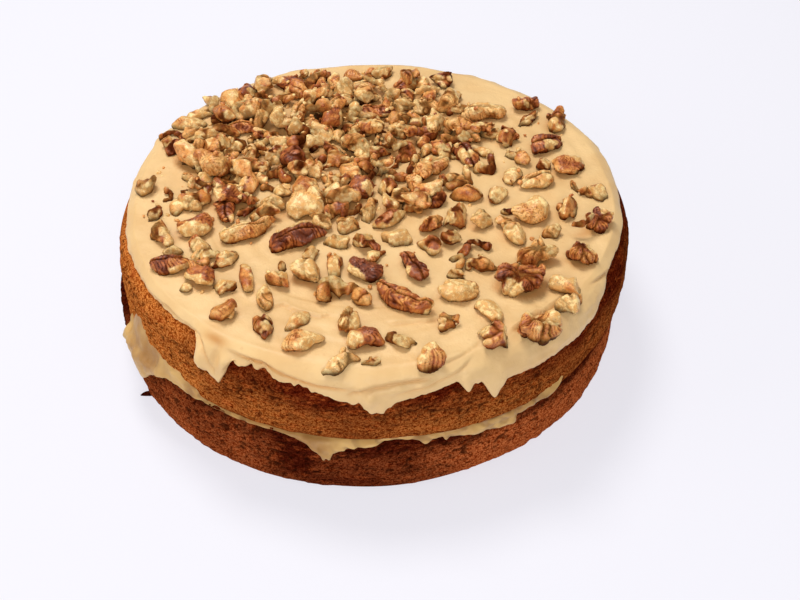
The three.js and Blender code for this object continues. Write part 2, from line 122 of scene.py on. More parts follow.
# Icing
ICING_STEPS = 1040  # points round the rim
CORE_SKIP = 4  # points round the rim for each one round the middle
ICING_CORE_STEPS = ICING_STEPS // CORE_SKIP
ICING_CORE = 75.0  # radius where the finer rings begin
ICING_RING = 0.85  # between rings of the top near the rim
ICING_CORE_RING = 1.2
ICING_THICK = 4.5  # on the top
ICING_LIP = 0.8  # at the torn lower edge
DRIP_LIP = 0.5  # how much thicker the edge of a drip is
DRIP_EDGE = (58, 52)  # heights at which the lower edge begins to be a drip and is one
ICING_BITE = 1.0  # how far it reaches into the sponge
SHOULDER_INSET = 8.0
SHOULDER_DROP = 10.0
SHOULDER_RUN = math.pi / 4 * (SHOULDER_INSET + SHOULDER_DROP)  # length of its curve
SHOULDER_RINGS = 30
LIP_RINGS = 5
ICING_UNDER = 60.0  # radius of the innermost ring of its underside
TORN = (math.radians(-131), math.radians(-25), 0.12, 0.3)  # where its lower edge is torn, as JOINT_SHUT is
# Larger teeth of that edge, and notches where the drop is negative: degrees, half width and drop
TEETH = [
    (-124.0, 2.6, -2.4), (-121.2, 0.7, 1.4), (-116.8, 4.2, 2.1), (-112.6, 1.6, 1.0),
    (-107.8, 2.2, 1.4), (-104.3, 0.8, 1.2), (-100.6, 0.9, 1.3), (-92.6, 1.2, 1.2), (-90.6, 0.4, -0.8),
    (-89.8, 0.7, -2.0), (-87.8, 0.9, -0.8), (-86.6, 0.3, 1.0), (-85.2, 1.4, 2.0), (-67.6, 2.2, 1.6),
    (-62.6, 0.9, -1.2),
]

# Strokes of the knife near the rim: height, fade on the inner side, and points as degrees round the cake
# and millimetres outward over the shoulder from the edge of the flat top
STROKES = [
    (1.3, 5.0, [(-121, 3.6), (-117, 3.3), (-111.7, 2.9), (-106.5, 5.1), (-103.4, 6.0), (-99.5, 6.9),
                (-95.6, 7.2), (-90.6, 7.5)]),
    (1.0, 3.0, [(-95, 9.8), (-93.6, 9.0), (-90.6, 7.5), (-87.9, 6.5), (-83.9, 5.4), (-79.9, 5.0),
                (-76, 4.8)]),
    (0.6, 3.0, [(-86, 9.4), (-84.1, 8.9), (-80, 8.0), (-75.9, 6.5), (-71.7, 4.8), (-69.1, 2.9), (-67, 1.0)]),
    (0.5, 3.0, [(-75, 2.0), (-72.9, 1.2), (-69.8, 0.5), (-66.2, -1.7), (-64, -4.0)]),
    (0.8, 5.0, [(-85, -24.0), (-81.8, -23.0), (-76, -22.6), (-72.2, -22.0), (-68, -22.0)]),
    (1.7, 2.5, [(-58, -2.0), (-55.5, -2.7), (-52, -3.0), (-48.1, -3.6), (-46.9, -1.6), (-44.2, -2.3),
                (-41.1, -2.1), (-38, -3.0)]),
    (0.9, 2.0, [(-120, -22.5), (-118.4, -23.0), (-115, -26.5), (-111.5, -25.3), (-103.4, -24.8),
                (-100.8, -26.6), (-98, -27.0)]),
    (0.6, 3.0, [(-157, 6.0), (-154, 5.0), (-149, 3.5), (-139.5, 1.8), (-130, 2.8), (-126, 3.4)]),
    (0.9, 1.8, [(-128.2, 3.0), (-125.4, 5.4), (-123.4, 8.6), (-122.0, 12.0), (-121.4, 15.0)]),
    (0.7, 1.6, [(-129.4, 7.0), (-127.6, 9.0), (-125.6, 12.0), (-124.4, 14.0)]),
    (0.8, 4.0, [(-34, 1.0), (-24, 3.5), (-12, 4.0), (-2, 2.5)]),
    (0.8, 4.0, [(8, 5.0), (25, 3.0), (44, 3.5), (60, 6.0)]),
    (0.8, 4.0, [(70, 2.0), (92, 4.0), (118, 3.0), (140, 6.0)]),
    (0.8, 4.0, [(148, 6.0), (160, 3.0), (178, 2.5)]),
]
STROKE_RADIUS = 113.0  # radius at which the degrees are turned into a length
# Dabs and hollows of the icing: degrees, millimetres over the shoulder, half sizes round and down, height
DABS = [
    (-125.6, 10.5, 3.2, 4.4, 2.3),
    (-121.8, 8.0, 1.6, 4.6, -1.6),
    (-119.4, 8.4, 2.4, 2.6, 1.4),
    (-117.0, 5.4, 4.2, 2.0, -1.3),
    (-89.2, 10.8, 2.6, 2.4, 1.8),
    (-92.4, 9.6, 1.6, 2.4, -1.1),
    (-64.6, 7.4, 3.2, 3.0, -0.7),
    (-19.0, 9.0, 6.0, 5.0, 0.8),
]
STAIN = (-123.4, 2.6, 5.5, 1.4)  # amber stain: degrees, millimetres over the shoulder and half sizes

# Filling
FILLING_STEPS = 1200
FILLING_RINGS = 24
FILLING_BITE = 3.5
FILLING_BACK = -3.0  # where none is squeezed out, from the wall
FILLING_OUT = 1.8
# Degrees: from, to, and over how many each end fades
SMEAR = (-156, -128, 3, 6)  # the filling is smeared over both sponges
GAP_SHADOW = (-69, -57, 3, 3)  # a shadow of a gap is painted along its upper edge
SMEAR_THIN = (34, 45)  # heights over which the smear thins out
JOINT_INSET = 0.15  # from each sponge to the filling inside the joint
# Edges of the filling at the left and front: degrees, and the heights of the lower and the upper edge
FILLING_EDGES = [
    (-156, 26, 34), (-154.5, 20, 39), (-152.5, 17.5, 47), (-150.5, 14, 51), (-148, 12.5, 52),
    (-146.5, 16, 47.5), (-144, 21.5, 43.5), (-141, 27, 41), (-138, 30, 40.5), (-134, 31, 40),
    (-131, 31, 38), (-128, 31, 36.5), (-126, 30.8, 32.6), (-115, 30.8, 32.4), (-107, 30.8, 32.6),
    (-104.8, 29.5, 32), (-102, 26, 31), (-100, 24, 31), (-98.8, 18.5, 31), (-98.3, 21, 31),
    (-97.6, 19, 31), (-97, 23.5, 31), (-95, 26, 32.5), (-92.5, 28, 32.5), (-91.8, 29.5, 32.5),
    (-88.7, 30, 33), (-86, 31, 34.5), (-81, 31, 35), (-79.4, 30, 34), (-78.2, 27, 33.5),
    (-76.8, 29, 33.5), (-74.5, 29.5, 34), (-73.9, 26.5, 34), (-73, 28.5, 34.5), (-70.3, 27.5, 35),
    (-67, 26.5, 34.5), (-65, 27, 34.5), (-62, 25, 34.5), (-60, 24.5, 35), (-58.2, 24, 35.5),
    (-57.9, 27, 35.5), (-57, 29, 35.5), (-55, 29.5, 35.5), (-52.4, 29, 36), (-51.7, 31, 36),
    (-49.7, 30.5, 37), (-48.6, 33, 37), (-46.8, 34, 37), (-45, 35, 38), (-42, 33, 35),
]

# Walnuts
NUT_VOXEL = 0.58
BIT_VOXEL = 0.66
NUT_SINK = 1.6  # how far a walnut is pressed into the icing
TONES = {"pale": 0.28, "tan": 0.36, "brown": 0.44, "dark": 0.57}
SKIN_REACH = {"pale": 0.0, "tan": 0.45, "brown": 0.65, "dark": 0.7}  # how far along a piece its skin reaches
BROKEN = {"pale": 0.75, "tan": 0.45, "brown": 0.4, "dark": 0.35}  # share of the flat sides that show flesh
LONG_ASPECT = 1.6  # a half longer than this for its width is a finger
RIB_WIDTH = (1.4, 2.0)
CREASE_WIDTH = 0.8
SHADE_DEPTH = (0.5, 6.0)  # depth between the walnuts at which they begin to darken and are darkest
FOOT_SHADE = 0.95  # how dark a walnut is where it meets the icing
FOOT_RISE = 3.2
# How much of a piece's box its core fills along, across and up, by form
CORES = {
    "curl": [0.05, 0.05, 0.05], "fan": [0.92, 0.92, 0.84], "chunk": [0.84, 0.76, 0.84],
    "shell": [1.0, 0.9, 1.0], "finger": [1.0, 0.9, 1.0], "shard": [1.0, 1.0, 0.8],
}
BOWED = {"shell": 0.3, "finger": 0.2}  # how far a piece curves, for its half width
RELIEF = {"shard": 0.3, "chunk": 0.8}  # depth of its folds and ribs, 1 for the others
FOLDED = {"shell": 0.15, "fan": 0.45, "finger": 0.5}  # how clear its folds are, 0.9 for the others
CUT_DEPTH = (0.42, 0.8)  # from the middle to a broken side, as a share of the box
# Walnuts that lie with their lobed face up, like a fan, or are a whole quarter, like a shell
FORMS = {
    "half_brown_01": "fan", "half_brown_07": "fan", "half_tan_09": "fan", "half_dark_34": "fan",
    "chunk_brown_31": "fan", "half_tan_15": "shell", "chunk_tan_48": "shell", "chunk_dark_40": "shell",
}

# Places of the walnuts that are fused to the icing, by form and tone
FUSED_WALNUTS = {
    ("chunk", "tan"): [
        (-7, -85), (27, -24), (-57, 19), (2, 30), (26, -37), (-101, 4), (-14, 72), (-81, 25), (-72, -37),
        (-60, -62), (-24, -43), (79, -28),
    ],
    ("chunk", "pale"): [
        (85, -77), (-43, -9), (-31, 73), (-76, 7), (-26, 15), (13, 46), (13, -95), (12, -32), (4, 97),
        (-14, -35), (-84, -39), (2, -106),
    ],
    ("shard", "pale"): [(-87, 53), (82, -63), (-43, -69), (21, 2), (-28, -84)],
    ("chunk", "brown"): [
        (-3, -36), (-44, 28), (-17, -14), (-10, -24), (26, 45), (57, -2), (-54, -5), (-37, -59),
        (36, -32),
    ],
    ("chunk", "dark"): [
        (-41, -87), (74, 68), (8, 3), (34, 90), (-26, 93), (-31, 34), (32, -85), (-91, 33), (-94, -15),
    ],
    ("shard", "dark"): [(-14, -49)],
    ("shard", "brown"): [(-50, -59)],
}
FUSED_NEAR = 5.0  # a solid on the icing further than this from each of them is a chopped bit

# Small pieces that lie between the others and on them: tone, place, length and width
LOOSE_PIECES = [
    ("pale", -66, -46, 13, 9), ("pale", -73, -45, 10, 4), ("pale", -85, -11, 9, 7), ("dark", -54, -13, 12, 6),
    ("tan", -36, -50, 6, 4), ("pale", -75, -63, 6, 5), ("pale", 2, -43, 10, 7), ("pale", 18, -11, 12, 7),
    ("dark", 62, -12, 9, 5), ("tan", 93, -26, 12, 5), ("pale", 38, -47, 10, 7), ("tan", 102, 0, 10, 8),
    ("dark", -73, 55, 10, 9), ("tan", -55, 74, 10, 8), ("tan", -55, 66, 9, 8), ("pale", -35, 61, 13, 8),
    ("tan", -25, 56, 13, 6), ("brown", -62, 36, 8, 7), ("tan", -52, 41, 11, 7), ("brown", -38, 47, 11, 8),
    ("tan", -65, 26, 10, 7), ("tan", -76, 22, 10, 7), ("tan", -31, 13, 11, 8), ("tan", -68, 6, 9, 7),
    ("pale", -60, 2, 11, 8), ("brown", -90, -1, 8, 5), ("dark", -83, 1, 5, 4), ("dark", -72, -3, 5, 4),
    ("brown", 18, 88, 13, 10), ("tan", 25, 85, 10, 8), ("brown", 17, 78, 9, 7), ("pale", 15, 67, 14, 9),
    ("brown", 36, 66, 8, 7), ("dark", 75, 58, 13, 7), ("brown", 69, 27, 13, 7), ("tan", 53, 18, 12, 9),
    ("pale", 65, 12, 12, 9), ("tan", 92, 5, 8, 3), ("pale", 38, 10, 10, 8), ("brown", 16, 30, 13, 10),
    ("tan", 9, 20, 14, 7), ("dark", -3, 40, 14, 9), ("pale", 6, 38, 11, 7), ("tan", 2, 54, 9, 8),
    ("tan", 21, 56, 11, 9), ("dark", 21, 14, 11, 8), ("pale", 27, 0, 12, 8), ("brown", 20, 6, 8, 7),
]
HEAP_MIDDLE = (-18.0, 38.0)  # where the walnuts lie thickest
HEAP_REACH = (76.0, 58.0)
HEAP_BITS = 125
HEAP_SIZE = (9.0, 17.0)
HEAP_TRIES = 5  # spots from which each bit takes the lowest
SPOT_REACH = 3.0  # how far round a spot its height is taken
HEAP_TONES = ["pale"] * 8 + ["tan"] * 8 + ["brown"] * 4 + ["dark"] * 2
HEAP_KINDS = ["chunk", "chunk", "curl", "curl", "half", "shard"]
CRUMBS = 220
CRUMB_SIZE = (0.7, 2.3)
CRUMB_SKIN = 0.55  # share of them that are skin
CRUMB_RIM = 101.0  # none lies further out

# Seeds of the noise in each sponge, of the first walnut of each kind and of the other random draws
LOWER_SEED = 11
UPPER_SEED = 21
OWN_SEED = 100
FUSED_SEED = 400
LOOSE_SEED = 700
FUSED_DRAWS = 7
LOOSE_DRAWS = 23
CRUMB_DRAWS = 41


# Noise

def lattice(cell, seed):
    """Repeatable numbers from -1 to 1, one for each whole-numbered cell."""
    c = cell.astype(np.uint32)
    h = c[..., 0] * np.uint32(73856093) ^ c[..., 1] * np.uint32(19349663)
    h = h ^ c[..., 2] * np.uint32(83492791) ^ np.uint32(seed * 2654435 + 97)
    h = (h ^ (h >> np.uint32(15))) * np.uint32(2246822519)
    h = (h ^ (h >> np.uint32(13))) * np.uint32(3266489917)
    h = h ^ (h >> np.uint32(16))
    return h.astype(np.float64) / 2147483647.5 - 1


def noise(points, size, seed):
    """Smooth noise from -1 to 1 whose bumps are about that size."""
    p = points / size + seed * 0.37 + 500
    cell = np.floor(p).astype(np.int64)
    f = p - cell
    f = f * f * f * (f * (f * 6 - 15) + 10)
    total = np.zeros(points.shape[:-1])
    for corner in np.ndindex(2, 2, 2):
        share = np.where(corner, f, 1 - f)
        total += share[..., 0] * share[..., 1] * share[..., 2] * lattice(cell + np.array(corner), seed)
    return total


def smoothstep(low, high, x):
    t = np.clip((x - low) / (high - low), 0, 1)
    return t * t * (3 - 2 * t)


def between(x, start, end, fade_in, fade_out):
    """1 from start to end and 0 outside, fading over those lengths inside each end."""
    return smoothstep(start, start + fade_in, x) * smoothstep(end, end - fade_out, x)


def bell(x, width):
    return np.exp(-((x / width) ** 2))


def blur(rows, spread, axis, wrap):
    """A bell-shaped average along an axis, of that many steps either way."""
    reach = int(3 * spread) + 1
    steps = np.arange(-reach, reach + 1)
    weight = np.exp(-((steps / spread) ** 2) / 2)
    weight /= weight.sum()
    pad = [(0, 0)] * rows.ndim
    pad[axis] = (reach, reach)
    wide = np.pad(rows, pad, mode="wrap" if wrap else "edge")
    count = rows.shape[axis]
    return sum(w * np.take(wide, np.arange(i, i + count), axis) for i, w in enumerate(weight))


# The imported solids

def solid(node):
    """A node's points, merged where they meet, and its triangles."""
    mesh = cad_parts[node].data
    mesh.calc_loop_triangles()
    points = np.empty(len(mesh.vertices) * 3, np.float32)
    mesh.vertices.foreach_get("co", points)
    triangles = np.empty(len(mesh.loop_triangles) * 3, np.int32)
    mesh.loop_triangles.foreach_get("vertices", triangles)
    points = np.round(points.reshape(-1, 3) / MM, 3)
    merged, place = np.unique(points, axis=0, return_inverse=True)
    return merged, place.reshape(-1)[triangles].reshape(-1, 3)


def node_edges(triangles):
    pairs = np.concatenate([triangles[:, [0, 1]], triangles[:, [1, 2]], triangles[:, [2, 0]]])
    return np.unique(np.sort(pairs, axis=1), axis=0)


def slices(node, angles):
    """For each angle, the [radius, height] points where a node's surface crosses that half plane."""
    points, triangles = solid(node)
    edges = node_edges(triangles)
    start = points[edges[:, 0]]
    end = points[edges[:, 1]]
    found = []
    for angle in angles:
        along = np.array([math.cos(angle), math.sin(angle)])
        across = np.array([-along[1], along[0]])
        a = start[:, :2] @ across
        b = end[:, :2] @ across
        hit = (a * b <= 0) & (a != b)
        share = (a[hit] / (a[hit] - b[hit]))[:, None]
        place = start[hit] + share * (end[hit] - start[hit])
        radius = place[:, :2] @ along
        found.append(np.column_stack([radius, place[:, 2]])[radius > 0])
    return found


def rim_slices(node, angles):
    return [cut[cut[:, 0] > WALL_INNER] for cut in slices(node, angles)]


def wall_radius(node, angles, heights):
    """How far out a sponge's wall is at each angle and height."""
    rows = []
    for outer in rim_slices(node, angles):
        outer = outer[np.lexsort((outer[:, 0], np.round(outer[:, 1], 2)))]
        last = np.append(np.diff(np.round(outer[:, 1], 2)) > 0, True)
        rows.append(np.interp(heights, outer[last, 1], outer[last, 0]))
    rows = np.array(rows)
    middle = np.median(rows, axis=0)
    return np.minimum(rows, middle + FLAKE_REACH)


def wall_line(node, angles, height, spread):
    """The smoothed radius of a sponge's wall at one height."""
    return blur(wall_radius(node, angles, [height])[:, 0], spread, 0, True)


def corners(node):
    return np.array([list(corner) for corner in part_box(node)]) / MM


lower_box = corners("sponge_lower")
LOWER_TOP = lower_box[1, 2]
UPPER_BOTTOM, UPPER_TOP = corners("sponge_upper")[:, 2]
ICING_TOP = UPPER_TOP + ICING_THICK


# Meshes

def add_object(name, data):
    added = bpy.data.objects.new(name, data)
    bpy.context.scene.collection.objects.link(added)
    return added


def make_piece(name, points, faces, material, values, node=None):
    """A mesh object from points in millimetres, with a number at each point for each of its values.
    It replaces that node of the solids, if one is given."""
    mesh = bpy.data.meshes.new(name)
    mesh.from_pydata(points * MM, [], faces)
    mesh.shade_smooth()
    for key, numbers in values.items():
        layer = mesh.attributes.new(key, "FLOAT", "POINT")
        layer.data.foreach_set("value", np.ascontiguousarray(numbers, np.float32))
    mesh.materials.append(material)
    piece = add_object(name, mesh)
    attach(piece, "root")
    if node:
        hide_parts(node)


def full_turn(steps):
    return np.arange(steps) / steps * TURN - math.pi


def ring_faces(first, second, count):
    """Quads between two rings of points that start at these indices."""
    i = np.arange(count)
    j = (i + 1) % count
    return np.column_stack([first + i, first + j, second + j, second + i])


def by_ring(rings):
    """Points in rows of (angle, ring, xyz) as one list, ring after ring."""
    return rings.transpose(1, 0, 2).reshape(-1, 3)


def round_body(rings, bottom, top):
    """A closed mesh from rings of points, rows of (angle, ring, xyz), and a middle point at each end.
    The rings run from the bottom's middle, out, up and back in to the top's middle."""
    steps, count, _ = rings.shape
    points = np.concatenate([by_ring(rings), [bottom, top]])
    faces = [ring_faces(k * steps, (k + 1) * steps, steps) for k in range(count - 1)]
    i = np.arange(steps)
    j = (i + 1) % steps
    low = np.column_stack([np.full(steps, steps * count), j, i])
    last = steps * (count - 1)
    high = np.column_stack([last + i, last + j, np.full(steps, steps * count + 1)])
    return points, np.concatenate(faces).tolist() + low.tolist() + high.tolist()


def round_values(rows):
    """A value for each angle and ring, in the order of round_body's points."""
    return np.concatenate([rows.T.reshape(-1), [0, 0]])


def polar(angles, radius, height):
    """Points at each angle and ring."""
    c = np.cos(angles)[:, None]
    s = np.sin(angles)[:, None]
    return np.stack([radius * c, radius * s, np.broadcast_to(height, radius.shape)], axis=-1)


def rim_points(angles):
    return polar(angles, np.full((len(angles), 1), RIM_RADIUS), 0.0)[:, 0]


def profile_normals(angles, radius, height):
    """Directions out of a turned surface, from its profile at each angle."""
    dr = np.gradient(radius, axis=1)
    dz = np.gradient(height, axis=1)
    size = np.maximum(np.hypot(dr, dz), 1e-6)
    return polar(angles, dz / size, -dr / size)


# Materials

class Shader:
    """A material's nodes, added one by one."""

    def __init__(self, name, **constants):
        self.material = bpy.data.materials.new(name)
        self.material.use_nodes = True
        self.tree = self.material.node_tree
        self.surface = self.tree.nodes["Principled BSDF"]
        for key, value in constants.items():
            self.surface.inputs[key.replace("_", " ")].default_value = value

    def add(self, kind, settings=None, **inputs):
        node = self.tree.nodes.new(kind)
        for key, value in (settings or {}).items():
            setattr(node, key, value)
        for key, value in inputs.items():
            socket = node.inputs[int(key[1:])] if key[1:].isdigit() else node.inputs[key.replace("_", " ")]
            self.put(value, socket)
        return node

    def put(self, value, socket):
        if isinstance(value, bpy.types.NodeSocket):
            self.tree.links.new(value, socket)
        else:
            socket.default_value = value

    def attribute(self, name):
        return self.add("ShaderNodeAttribute", {"attribute_name": name}).outputs["Fac"]

    def noise(self, size, detail=3.0, roughness=0.55, stretch=(1, 1, 1)):
        """Noise whose bumps are about that many millimetres."""
        place = self.add("ShaderNodeTexCoord").outputs["Object"]
        scale = 1 / (size * MM)
        place = self.add("ShaderNodeMapping", Vector=place, Scale=tuple(scale * s for s in stretch))
        node = self.add("ShaderNodeTexNoise", Vector=place.outputs[0], Scale=1.0, Detail=detail,
                        Roughness=roughness)
        return node.outputs["Fac"]

    def math(self, operation, a, b=0.0):
        return self.add("ShaderNodeMath", {"operation": operation}, _0=a, _1=b).outputs[0]

    def span(self, value, low, high, to_low=0.0, to_high=1.0):
        node = self.add("ShaderNodeMapRange", {"interpolation_type": "SMOOTHSTEP"}, Value=value)
        for key, number in zip(("From Min", "From Max", "To Min", "To Max"), (low, high, to_low, to_high)):
            node.inputs[key].default_value = number
        return node.outputs[0]

    def mix(self, share, a, b, blend="MIX"):
        node = self.add("ShaderNodeMix", {"data_type": "RGBA", "blend_type": blend})
        self.put(share, node.inputs[0])
        self.put(a, node.inputs[6])
        self.put(b, node.inputs[7])
        return node.outputs[2]

    def ramp(self, value, stops):
        node = self.add("ShaderNodeValToRGB", Fac=value)
        ramp = node.color_ramp
        while len(ramp.elements) < len(stops):
            ramp.elements.new(0.5)
        for element, (place, rgb) in zip(ramp.elements, stops):
            element.position = place
            element.color = colour(rgb)
        return node.outputs["Color"]

    def bump(self, height, strength, distance):
        node = self.add("ShaderNodeBump", Height=height, Strength=strength, Distance=distance * MM)
        self.link(node.outputs[0], "Normal")

    def link(self, value, key):
        self.put(value, self.surface.inputs[key])


def colour(rgb):
    """A colour as the shaders take it, from one as the eye sees it."""
    def linear(c):
        c /= 255
        return c / 12.92 if c <= 0.04045 else ((c + 0.055) / 1.055) ** 2.4
    return tuple(linear(c) for c in rgb) + (1.0,)


def buttercream(name, colours, flecks):
    light, deep, stain_and_shade_colour = map(colour, colours)
    shader = Shader(name, Roughness=0.48, Specular_IOR_Level=0.35)
    tint = shader.mix(shader.span(shader.noise(22, 3), 0.35, 0.7), light, deep)
    fleck = shader.span(shader.noise(2.4, 4), 0.62, 0.72, 0, flecks)
    tint = shader.mix(fleck, tint, colour(FLECK_COLOUR))
    # Stains and darker streaks of the cream, and painted shade in its furrows, creases and gap and among the
    # walnuts
    stain_and_shade = shader.math("MULTIPLY", shader.attribute("stain_and_shade"), 0.75)
    tint = shader.mix(stain_and_shade, tint, stain_and_shade_colour)
    shader.link(tint, "Base Color")
    shader.bump(shader.noise(1.8, 4), 0.6, 0.35)
    return shader.material


def sponge(name, colours):
    crust, crumb, warm, deep = map(colour, colours)
    shader = Shader(name, Roughness=1.0, Specular_IOR_Level=0.0)
    base = shader.mix(shader.attribute("tone"), crust, crumb)
    streak = shader.noise(6.0, 4, 0.6, (1, 1, 3.0))
    base = shader.mix(shader.span(streak, 0.5, 0.7, 0, 0.6), base, warm)
    base = shader.mix(shader.span(streak, 0.5, 0.32, 0, 0.45), base, deep)
    fine = shader.noise(1.0, 3, 0.65, (1, 1, 1.3))
    grain = shader.math("ADD", shader.noise(0.5, 2, 0.6), fine)
    light = shader.mix(shader.span(grain, 0.84, 1.16), GRAIN_DARK, GRAIN_LIGHT)
    base = shader.mix(1.0, base, light, "MULTIPLY")
    # Painted shade in the pits, pores and tears of the crumb
    pits = shader.span(shader.noise(1.3, 1, 0.5, (1, 1, 1.35)), 0.56, 0.64, 0, 0.85)
    base = shader.mix(pits, base, shader.mix(1.0, base, PIT_SHADE, "MULTIPLY"))
    tears = shader.span(shader.noise(3.2, 2, 0.55, (1, 1, 2.2)), 0.67, 0.72, 0, 0.8)
    dark = shader.math("MAXIMUM", tears, shader.math("MULTIPLY", shader.attribute("pore"), 0.75))
    base = shader.mix(dark, base, shader.mix(0.4, deep, BLACK))
    shader.link(base, "Base Color")
    shader.bump(fine, 0.8, 0.5)
    return shader.material


def walnut_material():
    shader = Shader("walnut", Roughness=0.4)
    drift = shader.span(shader.noise(3.2, 4, 0.6), 0.25, 0.75, -0.16, 0.16)
    tone = shader.math("ADD", shader.attribute("tone"), drift)
    skin = shader.ramp(tone, SKIN_COLOURS)
    line = shader.math("ABSOLUTE", shader.math("SUBTRACT", shader.noise(2.0, 2, 0.6), 0.5))
    vein = shader.span(line, 0.0, 0.035, 0.45, 0.0)
    skin = shader.mix(vein, skin, colour(SKIN_VEIN))
    flesh = shader.mix(shader.span(shader.noise(2.0, 3), 0.35, 0.65), *map(colour, FLESH_COLOURS))
    flesh = shader.mix(vein, flesh, colour(FLESH_VEIN))
    base = shader.mix(shader.attribute("skin"), flesh, skin)
    # Painted shade in the creases, where the walnut meets the icing and deep among the walnuts, with some of
    # the skin's darker brown in the creases; the shade also dims its reflection
    fold_and_shade = shader.attribute("fold_and_shade")
    base = shader.mix(fold_and_shade, base, shader.mix(0.93, base, colour(FOLD_AND_SHADE_COLOUR)))
    shader.link(base, "Base Color")
    shader.link(shader.span(fold_and_shade, 0.0, 0.6, 0.45, 0.02), "Specular IOR Level")
    shader.bump(shader.noise(0.8, 3), 0.6, 0.35)
    return shader.material


# Sponges

def make_sponge(node, seed, material, tone_at, joint, extra=None):
    """A sponge with its crumb, on the form of its solid. tone_at gives the share of crumb in its colour,
    joint the height of its edge at the filling, and extra is a mesh that is joined to it."""
    low, high = corners(node)[:, 2]
    angles = full_turn(SPONGE_STEPS)
    heights = np.linspace(low, high, int((high - low) / SPONGE_RISE) + 1)
    wall = wall_radius(node, angles, heights)
    wall = blur(blur(wall, 8, 0, True), 1.2, 1, False)
    wall = wall + JOINT_FLARE * smoothstep(JOINT_RISE, 0, np.abs(heights - joint))
    radius = np.concatenate([wall[:, :1] * INNER_RINGS, wall, wall[:, -1:] * INNER_RINGS[::-1]], axis=1)
    level = np.pad(heights, len(INNER_RINGS), mode="edge")
    height = np.broadcast_to(level, radius.shape)
    place = polar(angles, radius, height)
    crumb = SPONGE_WAVE * noise(place, 11, seed) + SPONGE_CRUMB * noise(place, 3.1, seed + 1)
    crumb += SPONGE_GRAIN * noise(place, 1.5, seed + 2)
    share = (height - low) / (high - low)
    open_crumb = smoothstep(0.0, 0.45, share + 0.25 * noise(place, 18, seed + 4))
    pore = smoothstep(0.42, 0.62, noise(place * [1, 1, 1.3], PORE_SIZE, seed + 3)) * open_crumb
    tear = smoothstep(0.52, 0.7, noise(place * [1, 1, 2.4], TEAR_SIZE, seed + 6)) * open_crumb
    on_wall = smoothstep(low - 0.01, low + 1.5, height) * (radius >= wall[:, :1] - 0.01)
    relief = (crumb - PORE_DEPTH * pore - TEAR_DEPTH * tear) * on_wall
    place = place + profile_normals(angles, radius, height) * relief[..., None]
    place[..., 2] = np.clip(place[..., 2], low, high)
    near = smoothstep(JOINT_RISE, 0, np.abs(height - joint))
    sag = JOINT_LIP * (1 + 0.5 * noise(place, 6, seed + 8)) * near
    place[..., 2] += (1 if joint == high else -1) * between(angles, *JOINT_SHUT)[:, None] * sag
    points, faces = round_body(place, (0, 0, low), (0, 0, high))
    tone = tone_at(angles[:, None], share, place, seed)
    # Painted shade in the pores and tears, for the material
    dark = np.maximum(pore, tear) * on_wall
    values = {"pore": round_values(dark), "tone": round_values(np.clip(tone, 0, 1))}
    if extra:
        faces = faces + (extra[1] + len(points)).tolist()
        points = np.concatenate([points, extra[0]])
        values = {key: np.concatenate([row, extra[2][key]]) for key, row in values.items()}
    make_piece(node + "_crumb", points, faces, material, values, node)


def flake():
    """The torn flake of the lower sponge's wall: its points, quads and the numbers that colour it."""
    axes = [np.arange(-s / 2 - 1, s / 2 + 1, FLAKE_VOXEL) for s in FLAKE_SIZE]
    grid = grid_points(axes)
    taper = np.clip(1.1 - 0.085 * (grid[..., 0] + FLAKE_SIZE[0] / 2), 0.25, 1)
    flat = grid.copy()
    flat[..., 1:] /= taper[..., None]
    body = ellipsoid(flat, [0, 0, 0], np.array(FLAKE_SIZE) / 2)
    body -= 0.45 * noise(grid, 2.2, 61) + 0.2 * noise(grid, 1.0, 62)
    points, quads = surface_net(body, axes, FLAKE_VOXEL)
    left, right = lower_box[:, 0]
    reach = (right - left) / 2 + FLAKE_OUT
    x = (left + right) / 2 + reach * math.cos(FLAKE_AT)
    points = lie(points, FLAKE_AT, [x, reach * math.sin(FLAKE_AT), FLAKE_HEIGHT], (0, -FLAKE_TILT))
    count = len(points)
    return points, quads, {"pore": np.full(count, 0.5), "tone": np.full(count, 0.0)}


def upper_tone(angle, share, place, seed):
    """Baked brown under the icing, paler crumb towards the joint, and lighter on the left side, where light
    is painted.
    """
    patch = 0.2 * noise(place, 16, seed + 5) + 0.1 * noise(place * [1, 1, 2], 6, seed + 7)
    # Painted light: the left side is lighter all the way up
    left = 0.4 * smoothstep(0.45, 0.8, -np.cos(angle))
    return 0.42 - (0.51 - 0.7 * left) * smoothstep(0.2, 0.95, share) + patch + 1.6 * left


def lower_tone(angle, share, place, seed):
    """Baked dark at the front, paler at the left and most of all at the right, and darker along the top edge:
    crust there, with a painted shadow of the upper sponge.
    """
    patch = 0.28 * noise(place, 16, seed + 5) + 0.15 * noise(place * [1, 1, 2], 6, seed + 7)
    right = 1.15 * smoothstep(0.25, 0.85, np.cos(angle + 0.3)) * smoothstep(1.0, 0.5, share)
    left = 0.45 * smoothstep(0.15, 0.55, -np.cos(angle))
    # The last term paints the upper sponge's shadow over the crust along the top edge
    return 0.02 + right + left + patch + 0.14 * smoothstep(0.9, 0.5, share) - 0.3 * smoothstep(0.75, 1, share)


# Filling

def torn(around, seed):
    """Teeth from 0 to about 1 along a torn edge."""
    coarse = np.maximum(0, noise(around, 2.7, seed)) ** 1.4
    return 1.1 * coarse + 0.45 * np.maximum(0, noise(around, 1.35, seed + 1))


